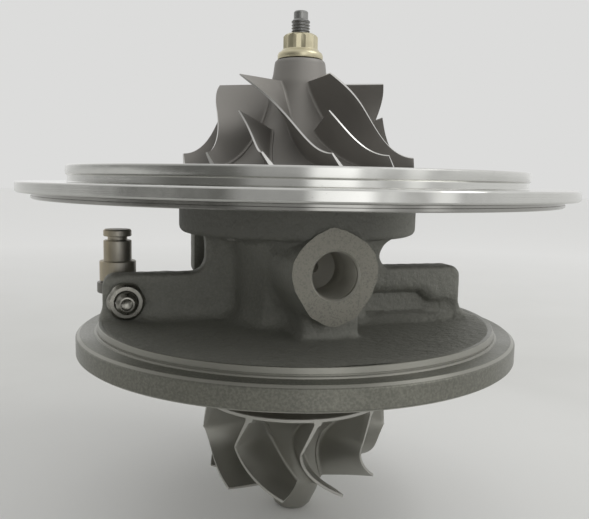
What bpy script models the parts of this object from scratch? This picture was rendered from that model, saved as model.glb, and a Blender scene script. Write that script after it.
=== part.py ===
"""Rotating-assembly cartridge of a variable-nozzle diesel turbocharger.

The rotor turns about Z. The compressor wheel is on top, the turbine wheel below.
The origin lies on the rotor axis, on the seating face of the turbine-side flange.
The oil inlet faces -Y and the oil drain faces +Y.
"""

import math

import bmesh
import bpy
from mathutils import Matrix, Vector

MM = 0.001

# Gap kept between pieces that touch or run in each other
CLEAR = 0.3 * MM

# How far a cutter reaches beyond the face it opens, and a joined body into its neighbour
OVER = 1.0 * MM

# Roundness of turned bodies: sides of a large rim, a flange, a hub, a hole, a narrow bore and a pin
RIM_SIDES = 40
FLANGE_SIDES = 32
HUB_SIDES = 24
HOLE_SIDES = 20
BORE_SIDES = 16
PIN_SIDES = 12

# Turbine-side flange of the bearing housing, its raised ring and its nose below
FLANGE_R = 52.9 * MM
FLANGE_THICK = 5.1 * MM
FLANGE_CHAMFER = 0.65 * MM
RING_R = 49.2 * MM
RING_HEIGHT = 1.3 * MM
RING_WIDTH = 4.0 * MM
RING_CHAMFER = 0.4 * MM
CAST_DROP = 0.3 * MM
CAST_RISE_R = 21.8 * MM
NOSE_R = 12.5 * MM
NOSE_TAPER = 1.0 * MM
NOSE_DROP = 8.6 * MM

# Compressor-side flange of the bearing housing
UPPER_R = 28.9 * MM
UPPER_TOP = 35.8 * MM
UPPER_THICK = 7.6 * MM
UPPER_FILLET = 1.7 * MM
UPPER_DISH = 1.0 * MM
UPPER_CHAMFER = 0.3 * MM

# Column between the flanges, set back from the rotor axis
COLUMN_R = 14.5 * MM
COLUMN_BACK = 4.5 * MM
COLUMN_FLARE = 6.5 * MM

# Left web with the stop-screw lug
WEB_FRONT = 5.0 * MM
WEB_THICK = 5.2 * MM
WEB_END = 46.7 * MM
WEB_TOP = 17.8 * MM
WEB_CORNER_R = 3.2 * MM
WEB_POST = 21.7 * MM
WEB_COVE_R = 3.0 * MM
WEB_FLARE = 1.6 * MM
WEB_FLARE_DROP = 4.3 * MM
WEB_FLARE_R = 3.0 * MM

# Right arm with its shallow pocket
ARM_FRONT = 8.5 * MM
ARM_THICK = 7.0 * MM
ARM_END = 41.0 * MM
ARM_TOP = 20.1 * MM
ARM_CORNER_R = 3.7 * MM
ARM_FOOT = 3.0 * MM
ARM_POST = 19.1 * MM
ARM_COVE_R = 2.4 * MM
ARM_FLARE = 4.2 * MM
ARM_FLARE_R = 2.0 * MM
POCKET_LOW = 8.5 * MM
POCKET_TOP = 13.3 * MM
POCKET_END_TOP = 10.3 * MM
POCKET_INSET = 2.5 * MM
POCKET_BEND_X = 30.0 * MM
POCKET_FALL_X = 33.4 * MM
POCKET_END_WALL = 1.8 * MM
POCKET_BEND_R = 2.0 * MM
POCKET_DEPTH = 2.4 * MM

# Oil inlet pad
INLET_FACE = 28.9 * MM
INLET_Z = 21.2 * MM
INLET_BORE_R = 5.1 * MM
INLET_CHAMFER = 0.35 * MM
INLET_DEPTH = 13.0 * MM
INLET_FEED_R = 1.8 * MM
INLET_FOOT_FACE = 22.6 * MM

# Corners of the inlet pad: x, height over the hole's centre, radius
INLET_CORNERS = (
    (-1.0 * MM, 10.5 * MM, 2.0 * MM),
    (-6.0 * MM, 8.2 * MM, 3.0 * MM),
    (-9.6 * MM, 2.4 * MM, 4.0 * MM),
    (-8.7 * MM, -3.6 * MM, 3.0 * MM),
    (-5.2 * MM, -8.7 * MM, 1.5 * MM),
    (-0.3 * MM, -11.7 * MM, 2.0 * MM),
    (4.0 * MM, -10.2 * MM, 2.5 * MM),
    (9.2 * MM, -2.8 * MM, 4.0 * MM),
    (9.6 * MM, 3.0 * MM, 3.0 * MM),
    (7.0 * MM, 7.4 * MM, 4.0 * MM),
)

# Corners of the pad's foot on the flange: x, height over the flange
INLET_FOOT_CORNERS = (
    (-5.0 * MM, 0),
    (8.2 * MM, 0),
    (7.4 * MM, 8.0 * MM),
    (-4.4 * MM, 8.0 * MM),
)

# Oil drain pad
DRAIN_FACE = 30.0 * MM
DRAIN_Z = 20.5 * MM
DRAIN_BORE_R = 7.5 * MM
DRAIN_WALL = 4.0 * MM
DRAIN_PAD_THICK = 6.0 * MM
DRAIN_PAD_HALF = 22.2 * MM
DRAIN_PAD_BELOW = 4.3 * MM
DRAIN_PAD_ABOVE = 10.0 * MM
DRAIN_PAD_CORNER_R = 2.5 * MM
DRAIN_NECK_SETBACK = 0.5 * MM
DRAIN_HOLE_X = 17.0 * MM
DRAIN_HOLE_R = 2.5 * MM
DRAIN_HOLE_DEPTH = 10.0 * MM
DRAIN_BORE_END = 13.0 * MM

# Slot from the thrust stack down into the drain bore
DRAIN_SLOT_HALF = 5.5 * MM
DRAIN_SLOT_FRONT = 10.0 * MM
DRAIN_SLOT_BACK = 16.5 * MM
DRAIN_SLOT_CORNER_R = 1.5 * MM

# Oil slinger space at the turbine end and the way from it to the drain bore
SLINGER_LOW = -3.2 * MM
SLINGER_HIGH = 1.1 * MM
SLINGER_DEPTH = 2.0 * MM
SLINGER_SLOPE = 0.4 * MM
SLINGER_WAY_R = 2.2 * MM
SLINGER_WAY_START_Y = 7.0 * MM
SLINGER_WAY_START_Z = 0.5 * MM
SLINGER_WAY_END_Y = 16.5 * MM
SLINGER_WAY_END_Z = 16.0 * MM

# Shaft
SHAFT_R = 4.0 * MM
SHAFT_THIN_R = 2.25 * MM
SHAFT_SHOULDER = 27.0 * MM
SHAFT_WAIST = 0.4 * MM
THREAD_TOP = 79.2 * MM
THREAD_CHAMFER = 0.4 * MM
STUB_R = 1.73 * MM
STUB_TOP = 81.15 * MM
STUB_CHAMFER = 0.3 * MM
SEAL_HUB_R = 6.3 * MM
SEAL_HUB_TOP = -3.7 * MM
SEAL_HUB_SLOPE = 1.7 * MM
TURBINE_RING_Z = -6.2 * MM
RING_GROOVE_DEPTH = 1.1 * MM
PISTON_RING_THICK = 1.0 * MM

# Journal bearings and the snap rings on both sides of each
BEARING_OUTER_R = 6.9 * MM
BEARING_LENGTH = 7.0 * MM
TURBINE_BEARING_Z = 3.4 * MM
COMPRESSOR_BEARING_Z = 17.6 * MM
BEARING_CHAMFER = 0.4 * MM
SNAP_THICK = 1.1 * MM
SNAP_GROOVE = 0.9 * MM
SNAP_INNER_R = 5.6 * MM
SNAP_MOUTH = math.radians(36)
SNAP_STEPS = 12

# Thrust stack inside the counterbore of the compressor-side flange
COUNTERBORE_R = 20.6 * MM
COUNTERBORE_FLOOR = 29.0 * MM
COLLAR_R = 7.2 * MM
COLLAR_CORE_R = 4.6 * MM
COLLAR_FLANGE = 1.7 * MM
THRUST_THICK = 2.4 * MM
THRUST_STEP = 0.5 * MM
THRUST_PIN_R = 1.5 * MM
THRUST_PIN_AT = 16.0 * MM
THRUST_PIN_SUNK = 2.7 * MM
DEFLECTOR_THICK = 0.8 * MM
DEFLECTOR_RIM = 0.7 * MM
SLEEVE_R = 6.0 * MM
SLEEVE_FLANGE_R = 7.5 * MM
SLEEVE_FLANGE = 1.7 * MM
SLEEVE_RING_UP = 1.8 * MM

# Compressor backplate
PLATE_BOTTOM = 36.1 * MM
PLATE_LOWER_R = 61.64 * MM
RIM_BOTTOM = 37.5 * MM
RIM_TOP = 39.8 * MM
RIM_R = 64.8 * MM
STEP_R = 54.44 * MM
PLATE_TOP = 43.5 * MM
PLATE_CHAMFER = 0.3 * MM
STEP_BAND = 2.0 * MM
STEP_SETBACK = 0.4 * MM
WHEEL_GAP = 0.8 * MM
SPIGOT_WALL = 6.0 * MM
HOUSING_ORING_R = 0.65 * MM

# Backplate screws
SCREW_COUNT = 4
SCREW_AT = 24.7 * MM
SCREW_R = 2.2 * MM
SCREW_HEAD_R = 3.9 * MM
SCREW_HEAD = 2.2 * MM
SCREW_REACH = 6.0 * MM
SCREW_SOCKET_R = 1.7 * MM

# Compressor wheel
WHEEL_R = 28.0 * MM
WHEEL_BACK = 42.0 * MM
WHEEL_RIM = 1.1 * MM
EXDUCER_TIP = 46.65 * MM
INDUCER_R = 20.2 * MM
INDUCER_Z = 63.95 * MM
SHROUD_BEND = 57.5 * MM
INDUCER_HUB_R = 6.95 * MM
WHEEL_NOSE_R = 6.15 * MM
WHEEL_NOSE_LENGTH = 3.0 * MM
WHEEL_NOSE_CHAMFER = 0.5 * MM
WHEEL_TOP = 70.1 * MM
BLADE_PAIRS = 6
BLADE_WRAP = math.radians(55.6)
BLADE_LEAN = math.radians(5.6)
BLADE_START = math.radians(-147.8)
BLADE_COURSE = (1.85, -1.24, 0.39)
SPLITTER_CUT = 0.37
BLADE_TIP_THICK = 0.55 * MM
BLADE_ROOT_THICK = 1.1 * MM
BLADE_SUNK = 0.66 * MM

# Turbine wheel
TURBINE_DISC_R = 22.9 * MM
TURBINE_DISC_Z = -12.8 * MM
TURBINE_DISC_THICK = 1.0 * MM
TURBINE_BACK_Z = -10.1 * MM
TURBINE_TIP_R = 23.1 * MM
TURBINE_CORNER_Z = -20.0 * MM
TURBINE_EXIT_R = 21.06 * MM
TURBINE_EXIT_Z = -32.1 * MM
TURBINE_HUB_R = 7.4 * MM
TURBINE_HUB_Z = -33.8 * MM
TURBINE_NOSE_R = 4.4 * MM
TURBINE_NOSE_Z = -42.3 * MM
TURBINE_NOSE_CHAMFER = 0.8 * MM
TURBINE_NOSE_TAPER = 1.0 * MM
TURBINE_NOSE_SHOULDER = 1.5 * MM
TURBINE_BACK_REACH = 3.0 * MM
TURBINE_BLADES = 9
TURBINE_LEAN_START = math.radians(-20.6)
TURBINE_LEAN_CORNER = math.radians(-29.8)
TURBINE_START = math.radians(-112.2)
TURBINE_TIP_THICK = 0.9 * MM
TURBINE_ROOT_THICK = 1.8 * MM
TURBINE_BLADE_SUNK = 1.2 * MM

# How fast the turbine blade's edge line and its lean come in toward the exit
TURBINE_EDGE_POWER = 2.6
TURBINE_LEAN_POWER = 2.1

# Nut on the compressor end of the shaft: a flange, a cone and a double hexagon
NUT_FLANGE_R = 5.47 * MM
NUT_FLANGE = 1.4 * MM
NUT_CONE = 0.9 * MM
NUT_ACROSS = 7.36 * MM
NUT_HEIGHT = 5.75 * MM
NUT_CHAMFER = 0.9 * MM
NUT_TOP_R = 3.4 * MM
NUT_POINTS = 12

# Heat shield
SHIELD_THICK = 0.7 * MM
SHIELD_FLAT_R = 16.2 * MM
SHIELD_SEAT_R = 23.6 * MM
SHIELD_RIM_R = 28.0 * MM

# Crank that works the nozzle ring, at the stop when it is at rest
CRANK_X = -29.7 * MM
CRANK_Y = 27.0 * MM
PIN_X = -42.7 * MM
PIN_Y = 16.8 * MM
CRANK_SHAFT_R = 3.1 * MM
BUSH_WALL = 1.6 * MM
BUSH_BOSS_WALL = 2.6 * MM
BUSH_BOSS_TOP = 10.8 * MM
BUSH_PROUD = 0.4 * MM
CRANK_NECK_R = 2.5 * MM
RIVET_R = 1.5 * MM
RIVET_HEAD = 0.9 * MM
ARM_PLATE_Z = 11.7 * MM
ARM_PLATE_THICK = 2.7 * MM
ARM_EYE_R = 5.2 * MM
ARM_HUB_R = 6.2 * MM
PIN_BASE_R = 4.55 * MM
PIN_BASE_TOP = 19.8 * MM
PIN_R = 3.5 * MM
PIN_TAIL_R = 2.45 * MM
PIN_GROOVE_R = 2.45 * MM
PIN_GROOVE_Z = 25.0 * MM
PIN_GROOVE_WIDTH = 1.05 * MM
PIN_GROOVE_SLOPE = 0.15 * MM
PIN_TOP = 27.8 * MM
PIN_CHAMFER = 0.45 * MM
INNER_REACH = 9.5 * MM
INNER_Z = -4.4 * MM
INNER_THICK = 3.0 * MM
INNER_EYE_R = 3.6 * MM
INNER_HUB_R = 5.2 * MM
INNER_PIN_R = 2.0 * MM
INNER_PIN_DROP = 4.0 * MM

# Stop screw with its lock nut
STOP_X = -41.3 * MM
STOP_Z = 11.4 * MM
STOP_R = 2.5 * MM
STOP_PROUD = 6.4 * MM
STOP_POINT_R = 1.5 * MM
STOP_CHAMFER = 0.5 * MM
STOP_SOCKET_R = 1.2 * MM
STOP_SOCKET_DEPTH = 1.6 * MM
LOCK_ACROSS = 7.8 * MM
LOCK_HEIGHT = 2.8 * MM
LOCK_CHAMFER = 0.5 * MM

# Dowel that sets the angle of the nozzle cage
DOWEL_R = 1.5 * MM
DOWEL_TIP_R = 1.05 * MM
DOWEL_AT = 45.0 * MM
DOWEL_TURN = math.radians(100)
DOWEL_PROUD = 2.4 * MM
DOWEL_SUNK = 3.6 * MM


def clear_scene():
    for item in list(bpy.data.objects):
        bpy.data.objects.remove(item, do_unlink=True)


def metal(name, colour, roughness, metallic=1.0):
    finish = bpy.data.materials.new(name)
    finish.use_nodes = True
    shader = finish.node_tree.nodes["Principled BSDF"]
    shader.inputs["Base Color"].default_value = (*colour, 1.0)
    shader.inputs["Roughness"].default_value = roughness
    shader.inputs["Metallic"].default_value = metallic
    finish.diffuse_color = (*colour, 1.0)
    return finish


def made(name, mesh, finish=None):
    """Object with outward faces, smooth where the surface is round."""
    bmesh.ops.remove_doubles(mesh, verts=mesh.verts, dist=0.00001)
    bmesh.ops.recalc_face_normals(mesh, faces=mesh.faces)
    data = bpy.data.meshes.new(name)
    mesh.to_mesh(data)
    mesh.free()
    data.shade_smooth()
    data.set_sharp_from_angle(angle=math.radians(32))
    item = bpy.data.objects.new(name, data)
    if finish:
        data.materials.append(finish)
    bpy.context.scene.collection.objects.link(item)
    return item


def polar(radius, turn, height):
    return Vector((radius * math.cos(turn), radius * math.sin(turn), height))


def turned(name, profile, finish=None, sides=HUB_SIDES):
    """Body turned about Z from an outline of (radius, height) points.

    An outline that begins and ends on the axis makes a solid body with flat ends.
    A pair of radii instead of one makes a ring of points and notches by turns.
    """
    mesh = bmesh.new()
    rings = []
    for radius, height in profile:
        if radius != 0:
            pair = radius if isinstance(radius, tuple) else (radius, radius)
            corners = [polar(pair[k % 2], 2 * math.pi * (k + 0.5) / sides, height) for k in range(sides)]
            rings.append([mesh.verts.new(corner) for corner in corners])
    onward = rings[1:]
    if profile[0][0] > 0:
        onward = onward + rings[:1]
    for low, high in zip(rings, onward):
        for k in range(sides):
            after = (k + 1) % sides
            mesh.faces.new((low[k], low[after], high[after], high[k]))
    if profile[0][0] == 0:
        ends = [mesh.faces.new(rings[0]), mesh.faces.new(rings[-1])]
        bmesh.ops.triangulate(mesh, faces=ends)
    return made(name, mesh, finish)


def prism(name, outline, height, finish=None):
    """Straight body of a flat (x, y) outline, from its own z = 0 up to height."""
    mesh = bmesh.new()
    face = mesh.faces.new([mesh.verts.new((x, y, 0)) for x, y in outline])
    pushed = bmesh.ops.extrude_face_region(mesh, geom=[face])["geom"]
    corners = [part for part in pushed if isinstance(part, bmesh.types.BMVert)]
    bmesh.ops.translate(mesh, verts=corners, vec=(0, 0, height))
    bmesh.ops.triangulate(mesh, faces=[face for face in mesh.faces if len(face.verts) > 4])
    return made(name, mesh, finish)


def rod(name, radius, low, high, finish=None, sides=PIN_SIDES):
    return turned(name, [(0, low), (radius, low), (radius, high), (0, high)], finish, sides)


def at(item, x=0.0, y=0.0, z=0.0):
    item.location = (x, y, z)
    return item


def facing_front(item, x, y, z):
    """Stands an outline or a rod up so that its own +z points to -Y."""
    item.rotation_euler = (math.pi / 2, 0, 0)
    return at(item, x, y, z)


def facing_back(item, x, y, z):
    """Lays a rod down so that its own +z points to +Y."""
    item.rotation_euler = (-math.pi / 2, 0, 0)
    return at(item, x, y, z)


def rounded(corners, steps=4):
    """Outline through (x, y, radius) corners, each turned by an arc that its sides have room for."""
    points = []
    for before, corner, after in zip(corners[-1:] + corners[:-1], corners, corners[1:] + corners[:1]):
        here = Vector(corner[:2])
        radius = corner[2]
        if radius == 0:
            points.append(tuple(here))
            continue
        back = Vector(before[:2]) - here
        onward = Vector(after[:2]) - here
        half = back.angle(onward) / 2
        room = 0.45 * min(back.length, onward.length)
        radius = min(radius, room * math.tan(half))
        back.normalize()
        onward.normalize()
        centre = here + (back + onward).normalized() * radius / math.sin(half)
        arm = here + back * radius / math.tan(half) - centre
        side = 1 if back.x * onward.y - back.y * onward.x < 0 else -1
        for k in range(steps + 1):
            turn = Matrix.Rotation(side * (math.pi - 2 * half) * k / steps, 2)
            points.append(tuple(centre + turn @ arm))
    return points


def hexagon(across):
    corner = across / math.sqrt(3)
    return [(corner * math.cos(math.pi * k / 3), corner * math.sin(math.pi * k / 3)) for k in range(6)]


def quarter(centre_r, centre_z, reach_r, reach_z, steps):
    """Quarter ellipse from level with the centre round to above or below it."""
    turns = [math.pi / 2 * k / steps for k in range(steps + 1)]
    return [(centre_r + reach_r * math.cos(t), centre_z + reach_z * math.sin(t)) for t in turns]


def hide(cutter):
    cutter.hide_render = True
    cutter.display_type = "WIRE"


def combine(body, tools, operation):
    for tool in tools:
        step = body.modifiers.new(tool.name, "BOOLEAN")
        step.operation = operation
        step.solver = "EXACT"
        step.object = tool
        hide(tool)


def join(body, *tools):
    combine(body, tools, "UNION")


def cut(body, *tools):
    combine(body, tools, "DIFFERENCE")


def lens(first_r, first, second_r, second):
    """Outline round two circles, as an arm has round its two eyes."""
    start, end = Vector(first), Vector(second)
    along = end - start
    lean = math.acos((first_r - second_r) / along.length)
    heading = math.atan2(along.y, along.x)
    points = []
    for centre, radius, begin, sweep in (
        (start, first_r, heading + lean, 2 * (math.pi - lean)),
        (end, second_r, heading - lean, 2 * lean),
    ):
        for k in range(7):
            t = begin + sweep * k / 6
            points.append((centre.x + radius * math.cos(t), centre.y + radius * math.sin(t)))
    return points


# Bearing housing

def lower_flange():
    """Turbine-side flange with its raised ring, cast top and nose."""
    shield_seat = CLEAR * 2 + SHIELD_THICK
    seat_r = SHIELD_RIM_R + CLEAR
    ring_top = FLANGE_THICK + RING_HEIGHT
    return turned("bearing_housing", [
        (0, -NOSE_DROP),
        (NOSE_R, -NOSE_DROP),
        (NOSE_R + NOSE_TAPER, shield_seat),
        (seat_r, shield_seat),
        (seat_r, 0),
        (FLANGE_R - FLANGE_CHAMFER, 0),
        (FLANGE_R, FLANGE_CHAMFER),
        (FLANGE_R, FLANGE_THICK - FLANGE_CHAMFER),
        (FLANGE_R - FLANGE_CHAMFER, FLANGE_THICK),
        (RING_R + CLEAR, FLANGE_THICK),
        (RING_R, ring_top - RING_CHAMFER),
        (RING_R - RING_CHAMFER, ring_top),
        (RING_R - RING_WIDTH, ring_top),
        (RING_R - RING_WIDTH - CAST_DROP, ring_top - CAST_DROP),
        (CAST_RISE_R, ring_top),
        (0, ring_top),
    ], CAST_IRON, RIM_SIDES)


def upper_flange():
    low = UPPER_TOP - UPPER_THICK
    edge = quarter(UPPER_R - UPPER_FILLET, low + UPPER_FILLET, UPPER_FILLET, -UPPER_FILLET, 2)
    return turned("upper_flange", [
        (0, low - UPPER_DISH),
        (COUNTERBORE_R, low - UPPER_DISH),
        *reversed(edge),
        (UPPER_R, UPPER_TOP - UPPER_CHAMFER),
        (UPPER_R - UPPER_CHAMFER, UPPER_TOP),
        (0, UPPER_TOP),
    ], sides=FLANGE_SIDES)


def column():
    """Round column, flared at both ends like a casting."""
    foot = FLANGE_THICK + RING_HEIGHT - CAST_DROP
    head = UPPER_TOP - UPPER_THICK + OVER
    small = COLUMN_FLARE / 2
    lower = quarter(COLUMN_R + small, foot + small, -small, -small, 3)
    upper = quarter(COLUMN_R + COLUMN_FLARE, head - COLUMN_FLARE, -COLUMN_FLARE, COLUMN_FLARE, 4)
    profile = [(0, foot - OVER), (COLUMN_R + small, foot - OVER), *reversed(lower), *upper, (0, head)]
    return at(turned("column", profile), 0, COLUMN_BACK, 0)


def web():
    """Left wall between the flanges, running out low to the stop-screw lug."""
    foot = FLANGE_THICK / 2
    head = UPPER_TOP - UPPER_THICK / 2
    under = UPPER_TOP - UPPER_THICK
    outline = rounded([
        (0, foot, 0),
        (0, head, 0),
        (-WEB_POST - WEB_FLARE, head, 0),
        (-WEB_POST - WEB_FLARE, under, 0),
        (-WEB_POST, under - WEB_FLARE_DROP, WEB_FLARE_R),
        (-WEB_POST, WEB_TOP, WEB_COVE_R),
        (-WEB_END, WEB_TOP, WEB_CORNER_R),
        (-WEB_END, foot, 0),
    ])
    return facing_front(prism("web", outline, WEB_THICK), 0, WEB_FRONT + WEB_THICK, 0)


def right_arm():
    """Right wall between the flanges, running out low to a plain arm."""
    foot = FLANGE_THICK / 2
    floor = FLANGE_THICK + RING_HEIGHT
    head = UPPER_TOP - UPPER_THICK / 2
    under = UPPER_TOP - UPPER_THICK
    outline = rounded([
        (0, foot, 0),
        (ARM_END + ARM_FOOT, foot, 0),
        (ARM_END + ARM_FOOT, floor, 0),
        (ARM_END, floor + ARM_FOOT, ARM_FOOT),
        (ARM_END, ARM_TOP, ARM_CORNER_R),
        (ARM_POST, ARM_TOP, ARM_COVE_R),
        (ARM_POST, under - ARM_FLARE, ARM_FLARE_R),
        (ARM_POST + ARM_FLARE + OVER, under + OVER, 0),
        (0, head, 0),
    ])
    return facing_front(prism("right_arm", outline, ARM_THICK), 0, ARM_THICK - ARM_FRONT, 0)


def arm_pocket():
    """Shallow pocket in the front of the arm, lower toward the arm's end."""
    left = ARM_POST - POCKET_INSET
    right = ARM_END - POCKET_END_WALL
    outline = rounded([
        (left, POCKET_LOW, 0),
        (right, POCKET_LOW, 0),
        (right, POCKET_END_TOP, 0),
        (POCKET_FALL_X, POCKET_END_TOP, POCKET_BEND_R),
        (POCKET_BEND_X, POCKET_TOP, POCKET_BEND_R),
        (left, POCKET_TOP, 0),
    ], steps=3)
    return facing_front(prism("arm_pocket", outline, POCKET_DEPTH * 2), 0, POCKET_DEPTH - ARM_FRONT, 0)


def inlet_pad():
    """Boss for the oil inlet: a rounded, many-sided face on a deep root."""
    outline = rounded(list(INLET_CORNERS), steps=2)
    return facing_front(prism("inlet_pad", outline, INLET_FACE + COLUMN_BACK), 0, COLUMN_BACK, INLET_Z)


def inlet_foot():
    return facing_front(prism("inlet_foot", INLET_FOOT_CORNERS, INLET_FOOT_FACE), 0, 0, FLANGE_THICK)


def inlet_hole():
    """Tapped hole, chamfered at its mouth, with the feed drilled on to the bearing."""
    mouth = INLET_BORE_R + INLET_CHAMFER
    profile = [
        (0, -OVER),
        (mouth + OVER, -OVER),
        (mouth, 0),
        (INLET_BORE_R, INLET_CHAMFER),
        (INLET_BORE_R, INLET_DEPTH),
        (INLET_FEED_R, INLET_DEPTH + (INLET_BORE_R - INLET_FEED_R) / 2),
        (INLET_FEED_R, INLET_FACE - BEARING_OUTER_R + CLEAR),
        (0, INLET_FACE - BEARING_OUTER_R + CLEAR),
    ]
    return facing_back(turned("inlet_hole", profile, sides=HOLE_SIDES), 0, -INLET_FACE, INLET_Z)


def drain_pad():
    """Broad pad, round below the drain, on a round neck."""
    middle_r = DRAIN_BORE_R + DRAIN_WALL
    lean = math.asin(DRAIN_PAD_BELOW / middle_r)
    turns = [-math.pi + lean + (math.pi - 2 * lean) * k / 8 for k in range(9)]
    outline = rounded([
        (DRAIN_PAD_HALF, -DRAIN_PAD_BELOW, DRAIN_PAD_CORNER_R),
        (DRAIN_PAD_HALF, DRAIN_PAD_ABOVE, DRAIN_PAD_CORNER_R),
        (-DRAIN_PAD_HALF, DRAIN_PAD_ABOVE, DRAIN_PAD_CORNER_R),
        (-DRAIN_PAD_HALF, -DRAIN_PAD_BELOW, DRAIN_PAD_CORNER_R),
        *[(middle_r * math.cos(t), middle_r * math.sin(t), 0) for t in turns],
    ], steps=3)
    yield facing_front(prism("drain_pad", outline, DRAIN_PAD_THICK), 0, DRAIN_FACE, DRAIN_Z)
    neck_r = middle_r - DRAIN_NECK_SETBACK
    neck = rod("drain_neck", neck_r, 0, DRAIN_FACE - DRAIN_PAD_THICK / 2, sides=HUB_SIDES)
    yield facing_back(neck, 0, 0, DRAIN_Z)


def drain_holes():
    """Drain bore, the slot up to the thrust stack and the two tapped holes."""
    bore = rod("drain_bore", DRAIN_BORE_R, -OVER, DRAIN_FACE - DRAIN_BORE_END, sides=HOLE_SIDES)
    yield facing_front(bore, 0, DRAIN_FACE, DRAIN_Z)
    slot = prism("drain_slot", rounded([
        (-DRAIN_SLOT_HALF, DRAIN_SLOT_FRONT, DRAIN_SLOT_CORNER_R),
        (DRAIN_SLOT_HALF, DRAIN_SLOT_FRONT, DRAIN_SLOT_CORNER_R),
        (DRAIN_SLOT_HALF, DRAIN_SLOT_BACK, DRAIN_SLOT_CORNER_R),
        (-DRAIN_SLOT_HALF, DRAIN_SLOT_BACK, DRAIN_SLOT_CORNER_R),
    ], steps=2), COUNTERBORE_FLOOR + OVER - DRAIN_Z)
    yield at(slot, 0, 0, DRAIN_Z)
    for side in (-1, 1):
        hole = rod("drain_tapped_hole", DRAIN_HOLE_R, -OVER, DRAIN_HOLE_DEPTH)
        yield facing_front(hole, side * DRAIN_HOLE_X, DRAIN_FACE, DRAIN_Z)


def turbine_end_drain():
    """Sloping way from the oil slinger space beside the shaft to the drain bore."""
    start = Vector((0, SLINGER_WAY_START_Y, SLINGER_WAY_START_Z))
    end = Vector((0, SLINGER_WAY_END_Y, SLINGER_WAY_END_Z))
    way = rod("turbine_end_drain", SLINGER_WAY_R, 0, (end - start).length)
    way.rotation_euler = (end - start).to_track_quat("Z", "Y").to_euler()
    way.location = start
    return way


def snap_positions():
    """Lower faces of the four snap rings, one on each side of each bearing."""
    for bearing in (TURBINE_BEARING_Z, COMPRESSOR_BEARING_Z):
        yield bearing - CLEAR - SNAP_THICK
        yield bearing + BEARING_LENGTH + CLEAR


def rotor_bore():
    """Everything turned out of the housing about the rotor axis."""
    bore_r = BEARING_OUTER_R + CLEAR
    seal_r = SEAL_HUB_R + CLEAR
    slinger_r = bore_r + SLINGER_DEPTH
    groove_r = bore_r + SNAP_GROOVE
    profile = [
        (0, -NOSE_DROP - OVER),
        (seal_r, -NOSE_DROP - OVER),
        (seal_r, SLINGER_LOW),
        (slinger_r, SLINGER_LOW + SLINGER_SLOPE),
        (slinger_r, SLINGER_HIGH - SLINGER_SLOPE),
        (bore_r, SLINGER_HIGH),
    ]
    for low in snap_positions():
        profile += [
            (bore_r, low - CLEAR),
            (groove_r, low - CLEAR),
            (groove_r, low + SNAP_THICK + CLEAR),
            (bore_r, low + SNAP_THICK + CLEAR),
        ]
    profile += [
        (bore_r, SHAFT_SHOULDER),
        (COLLAR_R + CLEAR * 2, SHAFT_SHOULDER),
        (COLLAR_R + CLEAR * 2, COUNTERBORE_FLOOR + OVER),
        (0, COUNTERBORE_FLOOR + OVER),
    ]
    yield turned("rotor_bore", profile, sides=BORE_SIDES)
    yield turned("counterbore", [
        (0, COUNTERBORE_FLOOR),
        (COUNTERBORE_R, COUNTERBORE_FLOOR),
        (COUNTERBORE_R, UPPER_TOP + OVER),
        (0, UPPER_TOP + OVER),
    ])


def around(count, radius, first=0.0):
    """Places round the rotor axis, evenly spaced."""
    for k in range(count):
        turn = first + 2 * math.pi * k / count
        yield radius * math.cos(turn), radius * math.sin(turn)


def screw_places():
    return around(SCREW_COUNT, SCREW_AT, math.pi / 4)


def thrust_pin_places():
    return around(2, THRUST_PIN_AT, 0)


def bearing_housing():
    body = lower_flange()
    join(body, upper_flange(), column(), web(), right_arm(), inlet_pad(), inlet_foot())
    join(body, *drain_pad())
    boss_r = CRANK_SHAFT_R + CLEAR * 2 + BUSH_WALL + BUSH_BOSS_WALL
    join(body, at(rod("crank_boss", boss_r, FLANGE_THICK, BUSH_BOSS_TOP, sides=HOLE_SIDES), CRANK_X, CRANK_Y))
    cut(body, arm_pocket(), *rotor_bore(), inlet_hole(), turbine_end_drain(), *drain_holes())
    bush_hole_r = boss_r - BUSH_BOSS_WALL + CLEAR
    bush_hole = rod("bush_hole", bush_hole_r, -OVER, BUSH_BOSS_TOP + OVER, sides=BORE_SIDES)
    cut(body, at(bush_hole, CRANK_X, CRANK_Y))
    stop_hole = rod("stop_hole", STOP_R + CLEAR, -OVER, WEB_THICK + OVER)
    cut(body, facing_front(stop_hole, STOP_X, WEB_FRONT + WEB_THICK, STOP_Z))
    for x, y in screw_places():
        hole = rod("screw_hole", SCREW_R + CLEAR, UPPER_TOP - SCREW_REACH - CLEAR * 2, UPPER_TOP + OVER)
        cut(body, at(hole, x, y))
    for x, y in thrust_pin_places():
        low = COUNTERBORE_FLOOR - THRUST_PIN_SUNK - CLEAR
        hole = rod("thrust_pin_hole", THRUST_PIN_R + CLEAR, low, COUNTERBORE_FLOOR + OVER)
        cut(body, at(hole, x, y))
    hole = rod("dowel_hole", DOWEL_R + CLEAR, -OVER, DOWEL_SUNK + CLEAR)
    cut(body, at(hole, *dowel_place()))


# Pieces fixed to the housing

def dowel_place():
    return next(around(1, DOWEL_AT, DOWEL_TURN))


def locating_dowel():
    at(turned("locating_dowel", [
        (0, -DOWEL_PROUD),
        (DOWEL_TIP_R, -DOWEL_PROUD),
        (DOWEL_R, DOWEL_R - DOWEL_TIP_R - DOWEL_PROUD),
        (DOWEL_R, DOWEL_SUNK),
        (0, DOWEL_SUNK),
    ], STEEL, PIN_SIDES), *dowel_place())


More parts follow.
